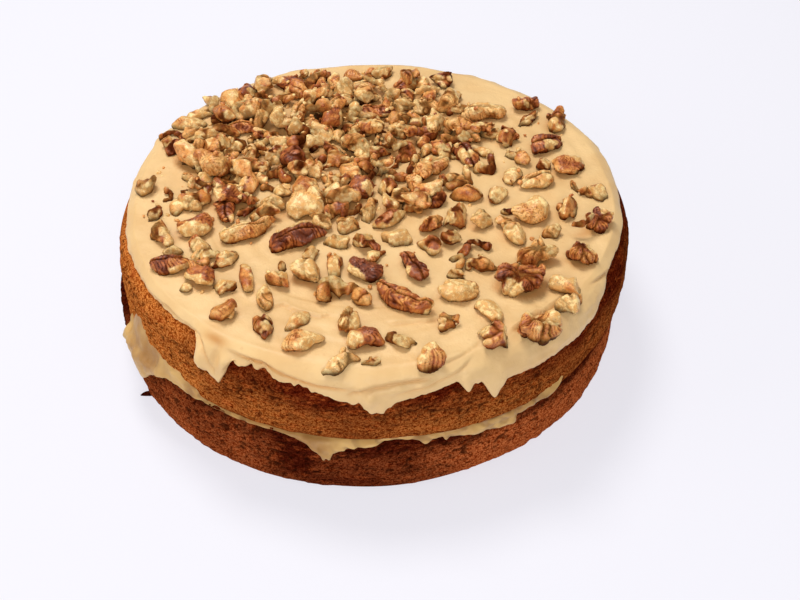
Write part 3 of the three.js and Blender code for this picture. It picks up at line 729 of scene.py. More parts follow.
def make_filling(material):
    """The filling: the edges of its solid, or those listed above, with what is squeezed out between them."""
    angles = full_turn(FILLING_STEPS)
    cuts = rim_slices("filling", angles)
    low = np.array([cut[:, 1].min() for cut in cuts])
    high = np.array([cut[:, 1].max() for cut in cuts])
    out = np.array([cut[:, 0].max() for cut in cuts])
    low, high, out = (blur(row, 2, 0, True) for row in (low, high, out))
    lower = wall_line("sponge_lower", angles, LOWER_TOP - 6, 6)
    upper = wall_line("sponge_upper", angles, UPPER_BOTTOM + 5, 6)
    around = rim_points(angles)
    degrees = np.degrees(angles)
    edges = np.array(FILLING_EDGES)
    first, last = edges[0, 0], edges[-1, 0]
    shown = between(degrees, first - 0.5, last, 2, 3)
    smear = between(degrees, *SMEAR)[:, None]
    low = low + shown * (np.interp(degrees, edges[:, 0], edges[:, 1]) - low)
    high = high + shown * (np.interp(degrees, edges[:, 0], edges[:, 2]) - high) - 0.6
    droop = smoothstep(0.3, 3.0, LOWER_TOP - low)
    rise = smoothstep(0.3, 3.0, high - UPPER_BOTTOM)
    low = low - droop * (2.0 - 1.2 * shown) * (torn(around, 31) - 0.3) + 0.25 * noise(around, 2, 38)
    high = high + rise * (0.6 * torn(around, 33) - 0.2 + 0.4 * noise(around, 5, 39))
    tall = smoothstep(2.0, 9.0, high - low)
    share = np.linspace(0, 1, FILLING_RINGS)
    height = low[:, None] + (high - low)[:, None] * share
    wall = lower[:, None] + (upper - lower)[:, None] * smoothstep(LOWER_TOP - 1, UPPER_BOTTOM + 1, height)
    ooze = np.clip((out - (lower + upper) / 2 + 0.8) / 2, 0, 1.2)
    least = shown * (0.6 + 0.4 * smoothstep(2.5, 6, high - low))
    ooze = np.where(degrees < first, 0, np.maximum(ooze, least))
    reach = (FILLING_BACK + (FILLING_OUT - FILLING_BACK) * ooze + 0.3 * noise(around, 7, 40))[:, None]
    radius = wall - FILLING_BITE + (reach + FILLING_BITE) * np.sin(math.pi * share ** 0.66) ** 0.35
    place = polar(angles, radius, height)
    pulled = 0.4 * noise(place * [1, 1, 0.22], 2.6, 37) + 0.4 * noise(place * [1, 1, 0.3], 5.2, 42)
    lumps = 0.5 * noise(place, 4.5, 35) + 0.4 * noise(place, 2.1, 36)
    length = np.broadcast_to(angles[:, None] * RIM_RADIUS, height.shape)
    slant = np.stack([(0.7 * length + height) / 2.6, (length - height) / 8, 0 * height], axis=-1)
    ripple = noise(slant, 1.0, 43)
    lumps = lumps + smear * pulled + (1 - smear) * ripple
    lumps *= np.sin(math.pi * share) * (0.4 + 0.6 * tall[:, None])
    place += profile_normals(angles, radius, height) * lumps[..., None]
    inner = polar(angles, np.stack([lower * 0.5, lower - 6], axis=1), 0.0)
    bottom = np.array([0, 0, LOWER_TOP + JOINT_INSET])
    top = np.array([0, 0, UPPER_BOTTOM - JOINT_INSET])
    rings = np.concatenate([inner + bottom, place, inner[:, ::-1] + top], axis=1)
    points, faces = round_body(rings, bottom, top)
    streaks = smoothstep(-0.5, 0.5, noise(place * [1, 1, 0.4], 5, 44))
    thin = smear * smoothstep(*SMEAR_THIN, height) * streaks
    # Darker streaks where the smear thins, painted shade in the creases of the ripples, and a painted shadow
    # of a gap under the upper sponge
    crease = (1 - smear) * smoothstep(-0.1, -0.6, ripple)
    gap_shadow = between(degrees, *GAP_SHADOW)[:, None] * smoothstep(0.84, 0.94, share)
    stain_and_shade = np.pad(np.maximum(np.maximum(0.15 * thin, 0.5 * crease), gap_shadow), [(0, 0), (2, 2)])
    values = {"stain_and_shade": round_values(stain_and_shade)}
    make_piece("filling_cream", points, faces, material, values, "filling")


# Icing


def run_to(height):
    """How far down over the shoulder, from the edge of the flat top, a height is."""
    above = (height - (UPPER_TOP - SHOULDER_DROP)) / SHOULDER_DROP
    bend = SHOULDER_RUN * np.arccos(np.clip(above, 0, 1)) / (math.pi / 2)
    return np.where(above < 0, SHOULDER_RUN - above * SHOULDER_DROP, bend)


def over_shoulder(wall, run, out):
    """The radius and height of a point that far over the sponge's shoulder and that far out of it."""
    turn = np.minimum(run / SHOULDER_RUN, 1) * math.pi / 2
    down = np.maximum(run - SHOULDER_RUN, 0)
    radius = wall - SHOULDER_INSET + (SHOULDER_INSET + out) * np.sin(turn)
    height = UPPER_TOP - SHOULDER_DROP + (SHOULDER_DROP + out) * np.cos(turn) - down
    return radius, height


def spread(place):
    """Height of the knife's broad work on the flat top."""
    angle = np.arctan2(place[..., 1], place[..., 0])
    radius = np.hypot(place[..., 0], place[..., 1])
    broad = 0.5 * noise(place, 26, 41) + 0.25 * noise(place, 9, 42) + 0.1 * noise(place, 3.4, 54)
    pulled = np.stack([angle * 4.2, radius / 3.4, np.zeros_like(angle)], axis=-1)
    pulled[..., 1] += 0.8 * noise(place, 30, 43)
    return broad + 0.22 * noise(pulled, 1.0, 44) * smoothstep(30, 80, radius)


def stroke(spot, height, fade, line):
    """One stroke of the knife at spots of (length round, run): a crest with a furrow outside it.
    Returns its height and how much shade is painted along the furrow."""
    line = np.array(line) * [math.radians(STROKE_RADIUS), 1]
    lengths = np.hypot(*np.diff(line, axis=0).T)
    total = lengths.sum()
    nearest = np.full(spot.shape[:-1], 1e9)
    side = np.zeros_like(nearest)
    along = np.zeros_like(nearest)
    for k, length in enumerate(lengths):
        way = (line[k + 1] - line[k]) / length
        from_start = spot - line[k]
        t = np.clip(from_start @ way, 0, length)
        away = np.linalg.norm(from_start - t[..., None] * way, axis=-1)
        closer = away < nearest
        nearest = np.where(closer, away, nearest)
        side = np.where(closer, from_start[..., 0] * way[1] - from_start[..., 1] * way[0], side)
        along = np.where(closer, lengths[:k].sum() + t, along)
    inner = np.exp(-nearest / fade)
    outer = -0.5 * np.exp(-nearest / 1.6) - 0.6 * bell(nearest - 0.5, 0.45)
    shape = outer + (inner - outer) * smoothstep(-0.3, 0.3, side)
    ends = smoothstep(0, 0.2 * total, along) * smoothstep(total, 0.8 * total, along)
    furrow = bell(nearest * np.sign(side) + 0.45, 0.6)
    return height * shape * ends, height * furrow * ends


def dab(spot, at, run, half_round, half_down):
    """A rounded swelling from 0 to 1 at spots of (length round, run)."""
    away = (spot - [math.radians(at) * STROKE_RADIUS, run]) / [half_round, half_down]
    return np.exp(-np.sum(away ** 2, axis=-1))


def rim_spots(angles, run):
    """Spots of (length round, run) for each angle and ring."""
    return np.stack([np.broadcast_to(angles[:, None] * STROKE_RADIUS, run.shape), run], axis=-1)


def icing_faces(count, core_count):
    """The faces of the icing: its fine rings, then the coarser rings of the middle, then the middle points
    of its top and its underside."""
    steps = ICING_CORE_STEPS
    base = count * ICING_STEPS
    last = base + (core_count - 1) * steps
    top = base + core_count * steps
    bottom = base - ICING_STEPS
    rings = [ring_faces((k + 1) * ICING_STEPS, k * ICING_STEPS, ICING_STEPS) for k in range(count - 1)]
    rings += [ring_faces(base + (k + 1) * steps, base + k * steps, steps) for k in range(core_count - 1)]
    faces = np.concatenate(rings).tolist()
    for i in range(steps):
        j = (i + 1) % steps
        fine = [(CORE_SKIP * i + k) % ICING_STEPS for k in range(CORE_SKIP + 1)]
        faces += [[last + i, fine[k], fine[k + 1]] for k in range(CORE_SKIP)]
        faces.append([last + i, fine[-1], last + j])
        faces.append([base + i, base + j, top])
    return faces + [[bottom + (i + 1) % ICING_STEPS, bottom + i, top + 1] for i in range(ICING_STEPS)]


def make_icing(material, bed):
    """The icing: fine rings from the flat top over the shoulder to the torn edge and back under it, and
    a middle with a quarter as many points round it."""
    angles = full_turn(ICING_STEPS)
    degrees = np.degrees(angles)
    cuts = rim_slices("icing", angles)
    smooth_edge = blur(np.array([cut[:, 1].min() for cut in cuts]), 1, 0, True)
    smooth_edge -= sum(
        drop * np.clip(1 - np.abs(degrees - at) / half, 0, 1) ** 1.3 for at, half, drop in TEETH)
    wall = wall_line("sponge_upper", angles, UPPER_TOP - SHOULDER_DROP - 1, 8)
    around = rim_points(angles)
    front = between(angles, *TORN)
    ragged = 0.2 + 0.5 * front * smoothstep(-0.1, 0.6, noise(around, 15, 52))
    edge = smooth_edge + 0.2 * noise(around, 5.2, 45) - ragged * (torn(around, 46) - 0.25)
    edge += 0.5 * noise(around, 1.5, 53) * front
    wall = wall[:, None]
    drip = smoothstep(*DRIP_EDGE, smooth_edge)[:, None]
    lip = ICING_LIP + DRIP_LIP * drip
    flat_rings = int((np.max(wall) - SHOULDER_INSET - ICING_CORE) / ICING_RING)
    flat_end = wall - SHOULDER_INSET - ICING_RING
    flats = ICING_CORE + (flat_end - ICING_CORE) * np.linspace(0, 1, flat_rings)
    share = np.linspace(0, 1, SHOULDER_RINGS)
    calm = run_to(blur(edge, 5, 0, True))[:, None]
    end = run_to(edge)[:, None]
    run = calm * share + (end - calm) * smoothstep(0.72, 1, share)
    thinned = np.interp(share, [0, 0.3, 0.6, 0.85, 1], [0, 0.3, 0.55, 0.78, 1])
    out = ICING_THICK + (lip - ICING_THICK) * thinned
    side_radius, side_height = over_shoulder(wall, run, out)
    turn = np.linspace(0, math.pi, LIP_RINGS + 2)[1:]
    lip_out = (lip - ICING_BITE) / 2 + (lip + ICING_BITE) / 2 * np.cos(turn)
    lip_radius, lip_height = over_shoulder(wall, end + 0.35 * np.sin(turn), lip_out)
    back_radius, back_height = over_shoulder(wall, end * 0.5, -ICING_BITE)
    under = np.stack([wall[:, 0] - SHOULDER_INSET - 6, np.full_like(wall[:, 0], ICING_UNDER)], axis=1)
    radius = np.concatenate([flats, side_radius, lip_radius, back_radius, under], axis=1)
    height = np.concatenate([np.full(flats.shape, ICING_TOP), side_height, lip_height, back_height,
                             np.full(under.shape, UPPER_TOP - ICING_BITE)], axis=1)
    place = polar(angles, radius, height)
    shown = flat_rings + SHOULDER_RINGS
    seen = place[:, :shown]
    spot = rim_spots(angles, np.concatenate([flats - wall + SHOULDER_INSET, run], axis=1))
    length, down = spot[..., 0], spot[..., 1]
    on_side = smoothstep(0.5, 7.0, down)
    wrinkle = 0.45 * noise(seen, 6.5, 47) + 0.3 * noise(seen, 3, 48)
    wrinkle += 0.35 * noise(np.stack([length / 9, down / 1.7, 0 * length], axis=-1), 1.0, 49)
    relief = spread(seen) * (1 - on_side) + wrinkle * on_side
    lines = [stroke(spot, *row) for row in STROKES]
    relief += sum(rise for rise, _ in lines)
    relief += sum(row[4] * dab(spot, *row[:4]) for row in DABS)
    fade = np.concatenate([np.ones(flat_rings), 1 - 0.75 * smoothstep(0.8, 1, share)])
    normals = -profile_normals(angles, radius, height)[:, :shown]
    place[:, :shown] += normals * (relief * fade)[..., None]
    # The amber stain, shade painted in the knife's furrows, and darkening round and under the walnuts that is
    # partly oil and partly painted shade
    stain_and_shade = np.zeros(radius.shape)
    stain_and_shade[:, :shown] = dab(spot, *STAIN) + 0.4 * sum(furrow for _, furrow in lines)
    stain_and_shade[:, :flat_rings] += bed.shade(place[:, :flat_rings].reshape(-1, 3)).reshape(flats.shape)
    core_flat = np.append(np.arange(4 * ICING_CORE_RING, ICING_CORE - ICING_CORE_RING, ICING_CORE_RING),
                          ICING_CORE - ICING_RING)
    core = polar(angles[::CORE_SKIP], np.broadcast_to(core_flat, (ICING_CORE_STEPS, len(core_flat))), 0.0)
    core_spot = rim_spots(angles[::CORE_SKIP], core_flat - wall[::CORE_SKIP] + SHOULDER_INSET)
    core[..., 2] = ICING_TOP + spread(core) + sum(stroke(core_spot, *row)[0] for row in STROKES)
    inner = by_ring(core)
    middle = np.array([[0, 0, ICING_TOP + 0.2], [0, 0, UPPER_TOP - ICING_BITE]])
    points = np.concatenate([by_ring(place), inner, middle])
    faces = icing_faces(radius.shape[1], len(core_flat))
    # In the middle too, the darkening among the walnuts is partly oil and partly painted shade
    values = {"stain_and_shade": np.concatenate([stain_and_shade.T.reshape(-1), bed.shade(inner), [0, 0]])}
    make_piece("icing_cream", points, faces, material, values, "icing")


# Walnuts

def smooth_min(a, b, k):
    h = np.clip(0.5 + 0.5 * (b - a) / k, 0, 1)
    return b + (a - b) * h - k * h * (1 - h)


def ellipsoid(points, centre, half):
    q = (points - centre) / half
    far = np.linalg.norm(q, axis=-1)
    return far * (far - 1) / np.maximum(np.linalg.norm(q / half, axis=-1), 1e-6)


def capsule(points, lobe):
    """Distance to a rounded lobe between two ends, each with its own thickness."""
    start, end, thick_start, thick_end = lobe
    line = end - start
    share = np.clip((points - start) @ line / (line @ line), 0, 1)
    away = np.linalg.norm(points - start - share[..., None] * line, axis=-1)
    return away - (thick_start + (thick_end - thick_start) * share)


def random_way(rng, low, high):
    """A direction with any turn about +Z and a rise between those two."""
    way = np.array([rng.uniform(-1, 1), rng.uniform(-1, 1), rng.uniform(low, high)])
    return way / np.linalg.norm(way)


def fan_lobes(size, rng):
    """A half kernel seen from its face: lobes that spread from a hollow near the middle."""
    length, width, height = size
    count = int(rng.integers(7, 10))
    thick = 0.15 * (length + width) / 2
    hub = np.array([rng.uniform(-0.12, 0.12) * length, rng.uniform(-0.2, 0.2) * width, 0.1 * height])
    lobes = []
    for i in range(count):
        angle = TURN * (i + rng.uniform(-0.25, 0.25)) / count
        stout = thick * rng.uniform(0.75, 1.2)
        rim = np.array([
            (length / 2 - stout) * math.cos(angle),
            (width / 2 - stout) * math.sin(angle),
            rng.uniform(-0.2, 0.12) * height,
        ])
        lobes.append((hub + 0.3 * (rim - hub), rim, 0.6 * stout, stout))
    return lobes


def cluster_lobes(size, rng):
    """A broken piece: a few folds that lie across each other."""
    length, width, height = size
    lobes = []
    for _ in range(int(rng.integers(3, 6))):
        middle = rng.uniform(-0.3, 0.3, 3) * [length, width, 0.7 * height]
        angle = rng.uniform(0, math.pi)
        run = rng.uniform(0.15, 0.3) * np.array([length * math.cos(angle), width * math.sin(angle), 0.3])
        stout = rng.uniform(0.2, 0.32) * width
        lobes.append((middle - run, middle + run, stout, stout * rng.uniform(0.6, 1.0)))
    return lobes


def curl_lobes(size, bend, rng):
    """A lobe of the kernel that has come away whole, bent like a bow, with knuckles."""
    length, width, height = size
    thick = 0.27 * width
    turns = np.linspace(-1, 1, 5)
    knots = np.column_stack([
        (length / 2 - thick) * np.sin(turns * 1.35) / math.sin(1.35),
        bend * (width - 2 * thick) * (turns ** 2 - 0.5),
        rng.uniform(-0.1, 0.1, 5) * height,
    ])
    stout = thick * rng.uniform(0.75, 1.1, 5)
    return [(knots[i], knots[i + 1], stout[i], stout[i + 1]) for i in range(4)]


def walnut_field(kind, tone, size, bend, rng):
    """A function of points that gives the distance to a walnut piece, its bare flesh, the shade painted in
    its creases and between its ribs over the skin's darker brown there, and its tone. A half kernel is a long
    finger or a shell that curves round its hollow side."""
    length, width, height = size
    half = np.array(size) / 2
    seed = int(rng.integers(1, 4000))
    form = kind
    if kind == "half":
        form = "finger" if length > LONG_ASPECT * width else "shell"
    lobes = []
    if form == "curl":
        lobes = curl_lobes(size, bend, rng)
    elif form == "fan":
        lobes = fan_lobes(size, rng)
    elif form == "chunk":
        lobes = cluster_lobes(size, rng)
    core = half * CORES[form]
    bow = bend * half[1] * BOWED.get(form, 0.0)
    hub = -0.4 * bend * width if form == "shell" else 0.0
    rib = rng.uniform(*RIB_WIDTH)
    spokes = round(1.9 * (length + width) / rib) / 2
    flat = RELIEF.get(form, 1.0)
    folded = FOLDED.get(form, 0.9)
    ribs_from = -0.25 if form in ("chunk", "curl", "shard") else -0.7
    depth = flat * float(np.clip(0.09 * width + 0.25, 0.5, 1.4))
    rib_depth = flat * float(np.clip(0.04 * width + 0.22, 0.35, 0.75))
    grain = float(np.clip(0.45 * width, 2.6, 5.0))
    bare_side = random_way(rng, -0.3, 0.5)
    planes = []
    cuts = {"chunk": rng.integers(3, 6), "shard": 3, "finger": rng.integers(0, 2)}.get(form, 0)
    for _ in range(cuts):
        facing = random_way(rng, -0.1, 0.9)
        broken = rng.random() < BROKEN[tone]
        planes.append((facing, rng.uniform(*CUT_DEPTH) * np.linalg.norm(half * facing), broken))

    def field(points):
        warp = np.stack([noise(points, 0.4 * width + 1, seed + k) for k in (11, 12, 13)], axis=-1)
        bent = points + 0.17 * width * warp
        bent[..., 1] -= bow * ((bent[..., 0] / half[0]) ** 2 - 0.4)
        body = ellipsoid(bent, [0, 0, -0.05 * height], core)
        crease = np.zeros(body.shape)
        if lobes:
            away = np.sort(np.stack([capsule(bent, lobe) for lobe in lobes], axis=-1), axis=-1)
            body = smooth_min(body, away[..., 0], 0.14 * width)
            crease = 0.8 * bell(away[..., 1] - away[..., 0], CREASE_WIDTH)
        x, y = bent[..., 0], bent[..., 1]
        if form in ("shell", "fan"):
            phase = spokes * np.arctan2(x, y - hub)
        else:
            phase = math.pi / rib * (x + 0.5 * np.abs(y))
        ridge = np.abs(np.sin(phase + 1.5 * noise(points, 2.6, seed + 14)))
        ribbed = smoothstep(ribs_from, ribs_from + 0.65, noise(points, 4.5, seed + 5))
        wave = noise(points + 0.5 * grain * warp, grain, seed)
        fine = noise(points + 0.4 * grain * warp, 0.5 * grain, seed + 7)
        fold_and_shade = bell(wave, 0.16) * smoothstep(-0.4, 0.2, noise(points, 2.2 * grain, seed + 6))
        fold_and_shade = np.maximum(fold_and_shade, 0.55 * bell(fine, 0.14) * smoothstep(-0.2, 0.3, wave))
        seam = bell(y - 0.12 * width * warp[..., 1], 0.55) if form == "finger" else 0
        crease = np.maximum(np.maximum(crease, folded * fold_and_shade), seam)
        rough = noise(points, 2.2, seed + 1)
        side = points / half @ bare_side + 0.8 * noise(points, 0.35 * width + 1, seed + 3)
        flesh = smoothstep(-0.07, 0.07, side + 0.2 * rough - SKIN_REACH[tone])
        ribbed = ribbed * (1 - 0.5 * flesh)
        body = body + depth * crease - rib_depth * ribbed * (ridge ** 0.8 - 0.6)
        body = body - 0.12 * noise(points, 1.1, seed + 2) - 0.35 * flat * noise(points, 2.7, seed + 8)
        # Painted shade in the creases and between the ribs, over the skin's own darker brown there; less on
        # bare flesh
        dark = np.maximum(crease, 0.6 * ribbed * bell(ridge, 0.3)) * (1 - 0.45 * flesh)
        for facing, far, broken in planes:
            cut = points @ facing - far - 0.45 * rough
            face = smoothstep(-0.35, 0.1, cut - body)
            flesh = np.maximum(flesh, face) if broken else flesh
            dark = dark * (1 - 0.6 * face)
            body = smooth_min(body, cut, -0.3)
        # Tone varies at random, with painted light on the ribs' crests and painted shade towards the creases
        shade = 0.14 * noise(points, 0.5 * width + 1, seed + 4) - 0.22 * ribbed * (ridge - 0.6)
        shade = shade - 0.3 * (np.abs(wave) - 0.25)
        return body, flesh, dark, shade

    return field


def grid_points(axes):
    return np.stack(np.meshgrid(*axes, indexing="ij"), axis=-1)


def surface_net(values, axes, step):
    """Quads round the zero surface of a grid of distances, with one point in each cell that it crosses."""
    origin = np.array([axis[0] for axis in axes])
    inside = values < 0
    shape = tuple(n - 1 for n in values.shape)
    crossings = np.zeros(shape)
    total = np.zeros(shape + (3,))

    def at(grid, corner):
        return grid[tuple(slice(c, c + n) for c, n in zip(corner, shape))]

    for a in np.ndindex(2, 2, 2):
        for axis in range(3):
            if a[axis]:
                continue
            b = tuple(c + (i == axis) for i, c in enumerate(a))
            crossing = at(inside, a) != at(inside, b)
            drop = np.where(crossing, at(values, a) - at(values, b), 1)
            share = np.where(crossing, at(values, a) / drop, 0)
            crossings += crossing
            total[..., axis] += share
            for i in range(3):
                total[..., i] += crossing * a[i]
    active = crossings > 0
    index = np.full(shape, -1)
    index[active] = np.arange(np.count_nonzero(active))
    points = origin + step * (np.argwhere(active) + total[active] / crossings[active][:, None])
    quads = []
    for axis in range(3):
        u = (axis + 1) % 3
        v = (axis + 2) % 3
        low = [slice(1, -1)] * 3
        low[axis] = slice(0, -1)
        high = list(low)
        high[axis] = slice(1, None)
        a = inside[tuple(low)]
        changes = a != inside[tuple(high)]
        place = np.argwhere(changes)
        place[:, [u, v]] += 1
        quad = []
        for du, dv in ((1, 1), (0, 1), (0, 0), (1, 0)):
            cell = place.copy()
            cell[:, u] -= du
            cell[:, v] -= dv
            quad.append(index[tuple(cell.T)])
        quad = np.column_stack(quad)
        flip = ~a[changes]
        quad[flip] = quad[flip][:, ::-1]
        quads.append(quad)
    return points, np.concatenate(quads)


def walnut_mesh(kind, tone, size, bend, voxel, seed):
    """A walnut piece about its own middle, as points, quads and the numbers that colour it."""
    rng = np.random.default_rng(seed)
    size = np.array(size, float)
    field = walnut_field(kind, tone, size, bend, rng)
    reach = size / 2 + 2.5 * voxel
    axes = [np.arange(-r, r + voxel, voxel) for r in reach]
    grid = grid_points(axes)
    values = field(grid)[0]
    for axis in range(3):
        rim = [slice(None)] * 3
        for side in (0, -1):
            rim[axis] = side
            values[tuple(rim)] = np.maximum(values[tuple(rim)], 0.1)
    points, quads = surface_net(values, axes, voxel)
    _, flesh, fold_and_shade, shade = field(points)
    tones = TONES[tone] + rng.uniform(-0.13, 0.13) + shade
    points = (points - box_middle(points)) * size / np.ptp(points, axis=0)
    return points, quads, {"skin": 1 - flesh, "fold_and_shade": fold_and_shade, "tone": tones}


def box_middle(points):
    return (points.min(0) + points.max(0)) / 2


def lie(points, turn, place, tilt=(0.0, 0.0)):
    """Points tilted about X and Y, turned about +Z and moved to their place."""
    rows = Euler((tilt[0], tilt[1], turn)).to_matrix()
    return points @ np.array(rows).T + place


def footprint(points):
    """The middle, long direction, length, width and bend of a solid seen from above."""
    flat = points[:, :2]
    away = flat - box_middle(flat)
    _, axes = np.linalg.eigh(np.cov(away.T))
    long = axes[:, 1]
    turn = math.atan2(long[1], long[0])
    x = away @ long
    y = away @ np.array([-long[1], long[0]])
    middle = np.array([(x.min() + x.max()) / 2, (y.min() + y.max()) / 2])
    bend = np.sign(np.sum((x ** 2 - np.mean(x ** 2)) * (y - np.mean(y))))
    c, s = math.cos(turn), math.sin(turn)
    centre = box_middle(flat) + [c * middle[0] - s * middle[1], s * middle[0] + c * middle[1]]
    return centre, turn, np.ptp(x), np.ptp(y), bend or 1.0


def walnut_on(solid_points, kind, tone, voxel, seed):
    """A walnut piece in the place of a solid, pressed into the icing."""
    centre, turn, length, width, bend = footprint(solid_points)
    top = solid_points[:, 2].max()
    low = min(solid_points[:, 2].min(), ICING_TOP) - NUT_SINK
    size = (length, width, top - low)
    points, quads, values = walnut_mesh(kind, tone, size, bend, voxel, seed)
    return lie(points, turn, [centre[0], centre[1], (top + low) / 2]), quads, values


def islands(points, triangles, floor):
    """Groups of joined points of a mesh that lie above a height."""
    edges = node_edges(triangles)
    above = points[:, 2] > floor
    label = np.where(above, np.arange(len(points)), -1)
    edges = edges[above[edges].all(axis=1)]
    changed = True
    while changed:
        low = np.minimum(label[edges[:, 0]], label[edges[:, 1]])
        before = label.copy()
        np.minimum.at(label, edges[:, 0], low)
        np.minimum.at(label, edges[:, 1], low)
        changed = not np.array_equal(before, label)
    return [points[label == i] for i in np.unique(label[above])]


def join(parts):
    """One mesh from several of (points, quads, values)."""
    points = np.concatenate([p for p, _, _ in parts])
    starts = np.cumsum([0] + [len(p) for p, _, _ in parts[:-1]])
    quads = np.concatenate([q + s for (_, q, _), s in zip(parts, starts)])
    values = {key: np.concatenate([v[key] for _, _, v in parts]) for key in parts[0][2]}
    return points, quads, values


class Bed:
    """How high the icing, and the walnuts that lie on it so far, reach above each square millimetre."""

    def __init__(self):
        self.height = np.full((BED_CELLS, BED_CELLS), ICING_TOP)

    def cells(self, points):
        return tuple(np.clip(np.round(points[:, :2] + BED_CELLS // 2), 0, BED_CELLS - 1).astype(int).T)

    def add(self, points):
        np.maximum.at(self.height, self.cells(points), points[:, 2])

    def under(self, points):
        return self.height[self.cells(points)]

    def settle(self):
        """Keep the mean height round each square millimetre, for shade."""
        self.level = blur(blur(self.height, 2.5, 0, False), 2.5, 1, False)

    def shade(self, points):
        """How deep points lie among the walnuts round them, from 0 to 1."""
        return smoothstep(*SHADE_DEPTH, self.level[self.cells(points)] - points[:, 2])

    def around(self, spots):
        """How high the bed is round each spot, as the sum of six heights."""
        turns = np.arange(6) * TURN / 6
        near = [spots + [SPOT_REACH * math.cos(t), SPOT_REACH * math.sin(t)] for t in turns]
        return sum(self.under(row) for row in near)


def own_walnuts(bed):
    """The walnuts that are nodes of their own, by name."""
    names = sorted(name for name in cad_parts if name.startswith("walnut"))
    found = []
    for seed, name in enumerate(names):
        _, kind, tone, _ = name.split("_")
        form = FORMS.get(name.removeprefix("walnut_"), kind)
        part = walnut_on(solid(name)[0], form, tone, NUT_VOXEL, OWN_SEED + seed)
        bed.add(part[0])
        found.append((name, part))
    return found


def fused_walnuts(bed):
    """The walnuts and chopped bits that the solids have in one with the icing, by tone."""
    points, triangles = solid("icing")
    known = [key + (place,) for key, places in FUSED_WALNUTS.items() for place in places]
    found = []
    rng = np.random.default_rng(FUSED_DRAWS)
    for seed, island in enumerate(islands(points, triangles, ICING_TOP + 0.4)):
        centre = box_middle(island[:, :2])
        away = [math.dist(centre, place) for _, _, place in known]
        nearest = int(np.argmin(away))
        kind, tone = "chunk", str(rng.choice(HEAP_TONES))
        if away[nearest] < FUSED_NEAR:
            kind, tone, _ = known[nearest]
        part = walnut_on(island, kind, tone, BIT_VOXEL, FUSED_SEED + seed)
        bed.add(part[0])
        found.append((tone, part))
    return found


def loose_walnuts(bed):
    """Small pieces that rest on the icing or on the walnuts below them, by tone."""
    rng = np.random.default_rng(LOOSE_DRAWS)
    rows = [row[:1] + ([row[1:3]],) + row[3:] for row in LOOSE_PIECES]
    for _ in range(HEAP_BITS):
        turn = rng.uniform(0, TURN, HEAP_TRIES)
        far = np.sqrt(rng.uniform(0, 1, HEAP_TRIES)) ** 1.15
        spots = np.column_stack([np.cos(turn), np.sin(turn)]) * far[:, None] * HEAP_REACH + HEAP_MIDDLE
        length = rng.uniform(*HEAP_SIZE)
        rows.append((str(rng.choice(HEAP_TONES)), spots, length, length * rng.uniform(0.45, 0.8)))
    found = []
    for seed, (tone, spots, length, width) in enumerate(rows):
        spots = np.array(spots, float)
        x, y = spots[np.argmin(bed.around(spots))]
        kind = str(rng.choice(HEAP_KINDS))
        size = (length, width, width * rng.uniform(0.7, 0.95))
        points, quads, values = walnut_mesh(kind, tone, size, 1.0, BIT_VOXEL, LOOSE_SEED + seed)
        points = lie(points, rng.uniform(0, TURN), np.array([x, y, 0]), rng.uniform(-0.35, 0.35, 2))
        low = points[points[:, 2] < np.percentile(points[:, 2], 30)]
        rest = np.percentile(bed.under(low) - low[:, 2], 60)
        points = points + [0, 0, rest - 0.15 * size[2]]
        bed.add(points)
        found.append((tone, (points, quads, values)))
    return found


def crumb_walnuts(bed):
    """Crumbs of walnut, each a lumpy scrap with few sides."""
    rng = np.random.default_rng(CRUMB_DRAWS)
    build = bmesh.new()
    bmesh.ops.create_icosphere(build, subdivisions=2, radius=0.5)
    ball = np.array([v.co for v in build.verts])
    sides = np.array([[v.index for v in f.verts] for f in build.faces])
    build.free()
    parts = []
    while len(parts) < CRUMBS:
        spot = rng.normal(0, 0.75, 2) * HEAP_REACH + HEAP_MIDDLE
        if np.linalg.norm(spot) > CRUMB_RIM:
            continue
        size = rng.uniform(*CRUMB_SIZE)
        lumps = 1 + 0.35 * noise(ball + 20 * len(parts), 0.45, 9)[:, None]
        points = ball * lumps * size * [1.2, rng.uniform(0.7, 1.1), rng.uniform(0.5, 0.9)]
        points = lie(points, rng.uniform(0, TURN), np.array([*spot, 0]), rng.uniform(-0.5, 0.5, 2))
        points = points + [0, 0, bed.under(np.array([[*spot, 0]]))[0] + 0.2 * size]
        tone = TONES[str(rng.choice(HEAP_TONES))]
        count = len(points)
        parts.append((points, sides, {
            "skin": np.full(count, float(rng.random() < CRUMB_SKIN)),
            "fold_and_shade": np.zeros(count),
            "tone": np.full(count, tone),
        }))
    return parts


def make_walnuts(material, bed):
    """Each walnut that is a node, the smaller pieces joined by tone, and the crumbs."""
    own = own_walnuts(bed)
    small = fused_walnuts(bed) + loose_walnuts(bed)
    bed.settle()
    for _, (points, _, values) in own + small:
        # Painted shade where each walnut meets the icing and where it lies deep among the walnuts round it
        foot = FOOT_SHADE * smoothstep(ICING_TOP + FOOT_RISE, ICING_TOP, points[:, 2])
        values["fold_and_shade"] = np.maximum(np.maximum(values["fold_and_shade"], foot), bed.shade(points))
    for name, (points, quads, values) in own:
        make_piece(name + "_kernel", points, quads.tolist(), material, values, name)
    for tone in TONES:
        points, quads, values = join([part for name, part in small if name == tone])
        make_piece("walnut_pieces_" + tone, points, quads.tolist(), material, values)
    points, sides, values = join(crumb_walnuts(bed))
    make_piece("walnut_crumbs", points, sides.tolist(), material, values)


# Camera, light and floor

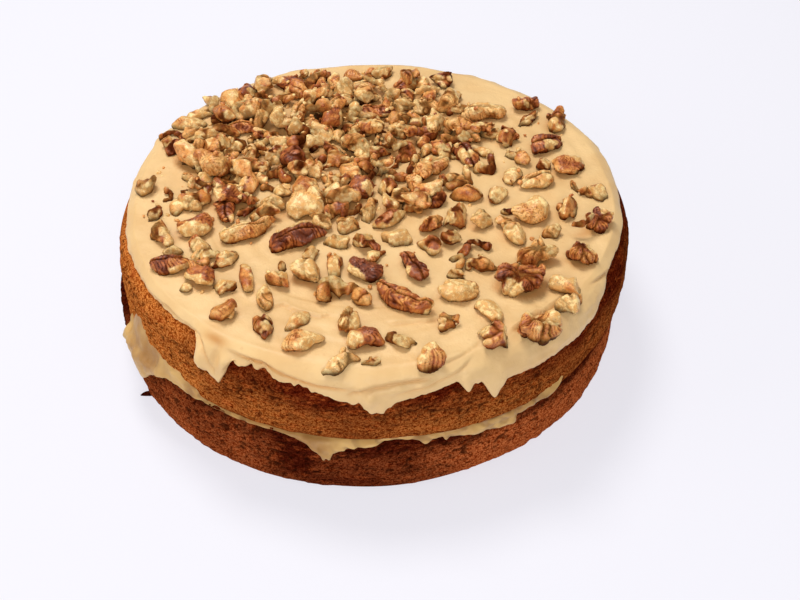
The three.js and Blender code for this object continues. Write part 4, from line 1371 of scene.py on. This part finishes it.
def make_camera():
    data = bpy.data.cameras.new("camera")
    data.lens = CAMERA_LENS
    data.sensor_width = CAMERA_SENSOR
    camera = add_object("camera", data)
    aim = Vector(CAMERA_AIM) * MM
    back = Vector((0, -math.cos(CAMERA_ELEVATION), math.sin(CAMERA_ELEVATION)))
    camera.location = aim + back * CAMERA_DISTANCE * MM
    camera.rotation_euler = (math.pi / 2 - CAMERA_ELEVATION, 0, 0)
    bpy.context.scene.camera = camera


def make_light(name, place, aim_height, size, power, tint):
    data = bpy.data.lights.new(name, "AREA")
    data.shape = "DISK"
    data.size = size
    data.energy = power
    data.color = tint
    light = add_object(name, data)
    light.location = place
    aim = Vector((0, 0, aim_height)) - Vector(place)
    light.rotation_euler = aim.to_track_quat("-Z", "Y").to_euler()


def make_stage():
    world = bpy.data.worlds.new("studio")
    world.use_nodes = True
    background = world.node_tree.nodes["Background"]
    background.inputs["Color"].default_value = WORLD_COLOUR
    background.inputs["Strength"].default_value = WORLD_STRENGTH
    bpy.context.scene.world = world
    for row in LIGHTS:
        make_light(*row)
    mesh = bpy.data.meshes.new("floor")
    square = [(-1, -1, 0), (1, -1, 0), (1, 1, 0), (-1, 1, 0)]
    mesh.from_pydata(np.array(square) * FLOOR_HALF, [], [(0, 1, 2, 3)])
    shader = Shader("floor", Roughness=0.9, Specular_IOR_Level=0.1, Base_Color=FLOOR_COLOUR,
                    Emission_Color=FLOOR_GLOW, Emission_Strength=FLOOR_GLOW_STRENGTH)
    mesh.materials.append(shader.material)
    floor = add_object("floor", mesh)
    floor.location.z = -FLOOR_DROP
    bpy.context.scene.view_settings.view_transform = "Standard"


make_camera()
make_stage()
lower_sponge = sponge("lower_sponge", LOWER_COLOURS)
upper_sponge = sponge("upper_sponge", UPPER_COLOURS)
make_sponge("sponge_lower", LOWER_SEED, lower_sponge, lower_tone, LOWER_TOP, flake())
make_sponge("sponge_upper", UPPER_SEED, upper_sponge, upper_tone, UPPER_BOTTOM)
make_filling(buttercream("filling", FILLING_COLOURS, flecks=0.4))
bed = Bed()
make_walnuts(walnut_material(), bed)
make_icing(buttercream("icing", ICING_COLOURS, flecks=0.25), bed)
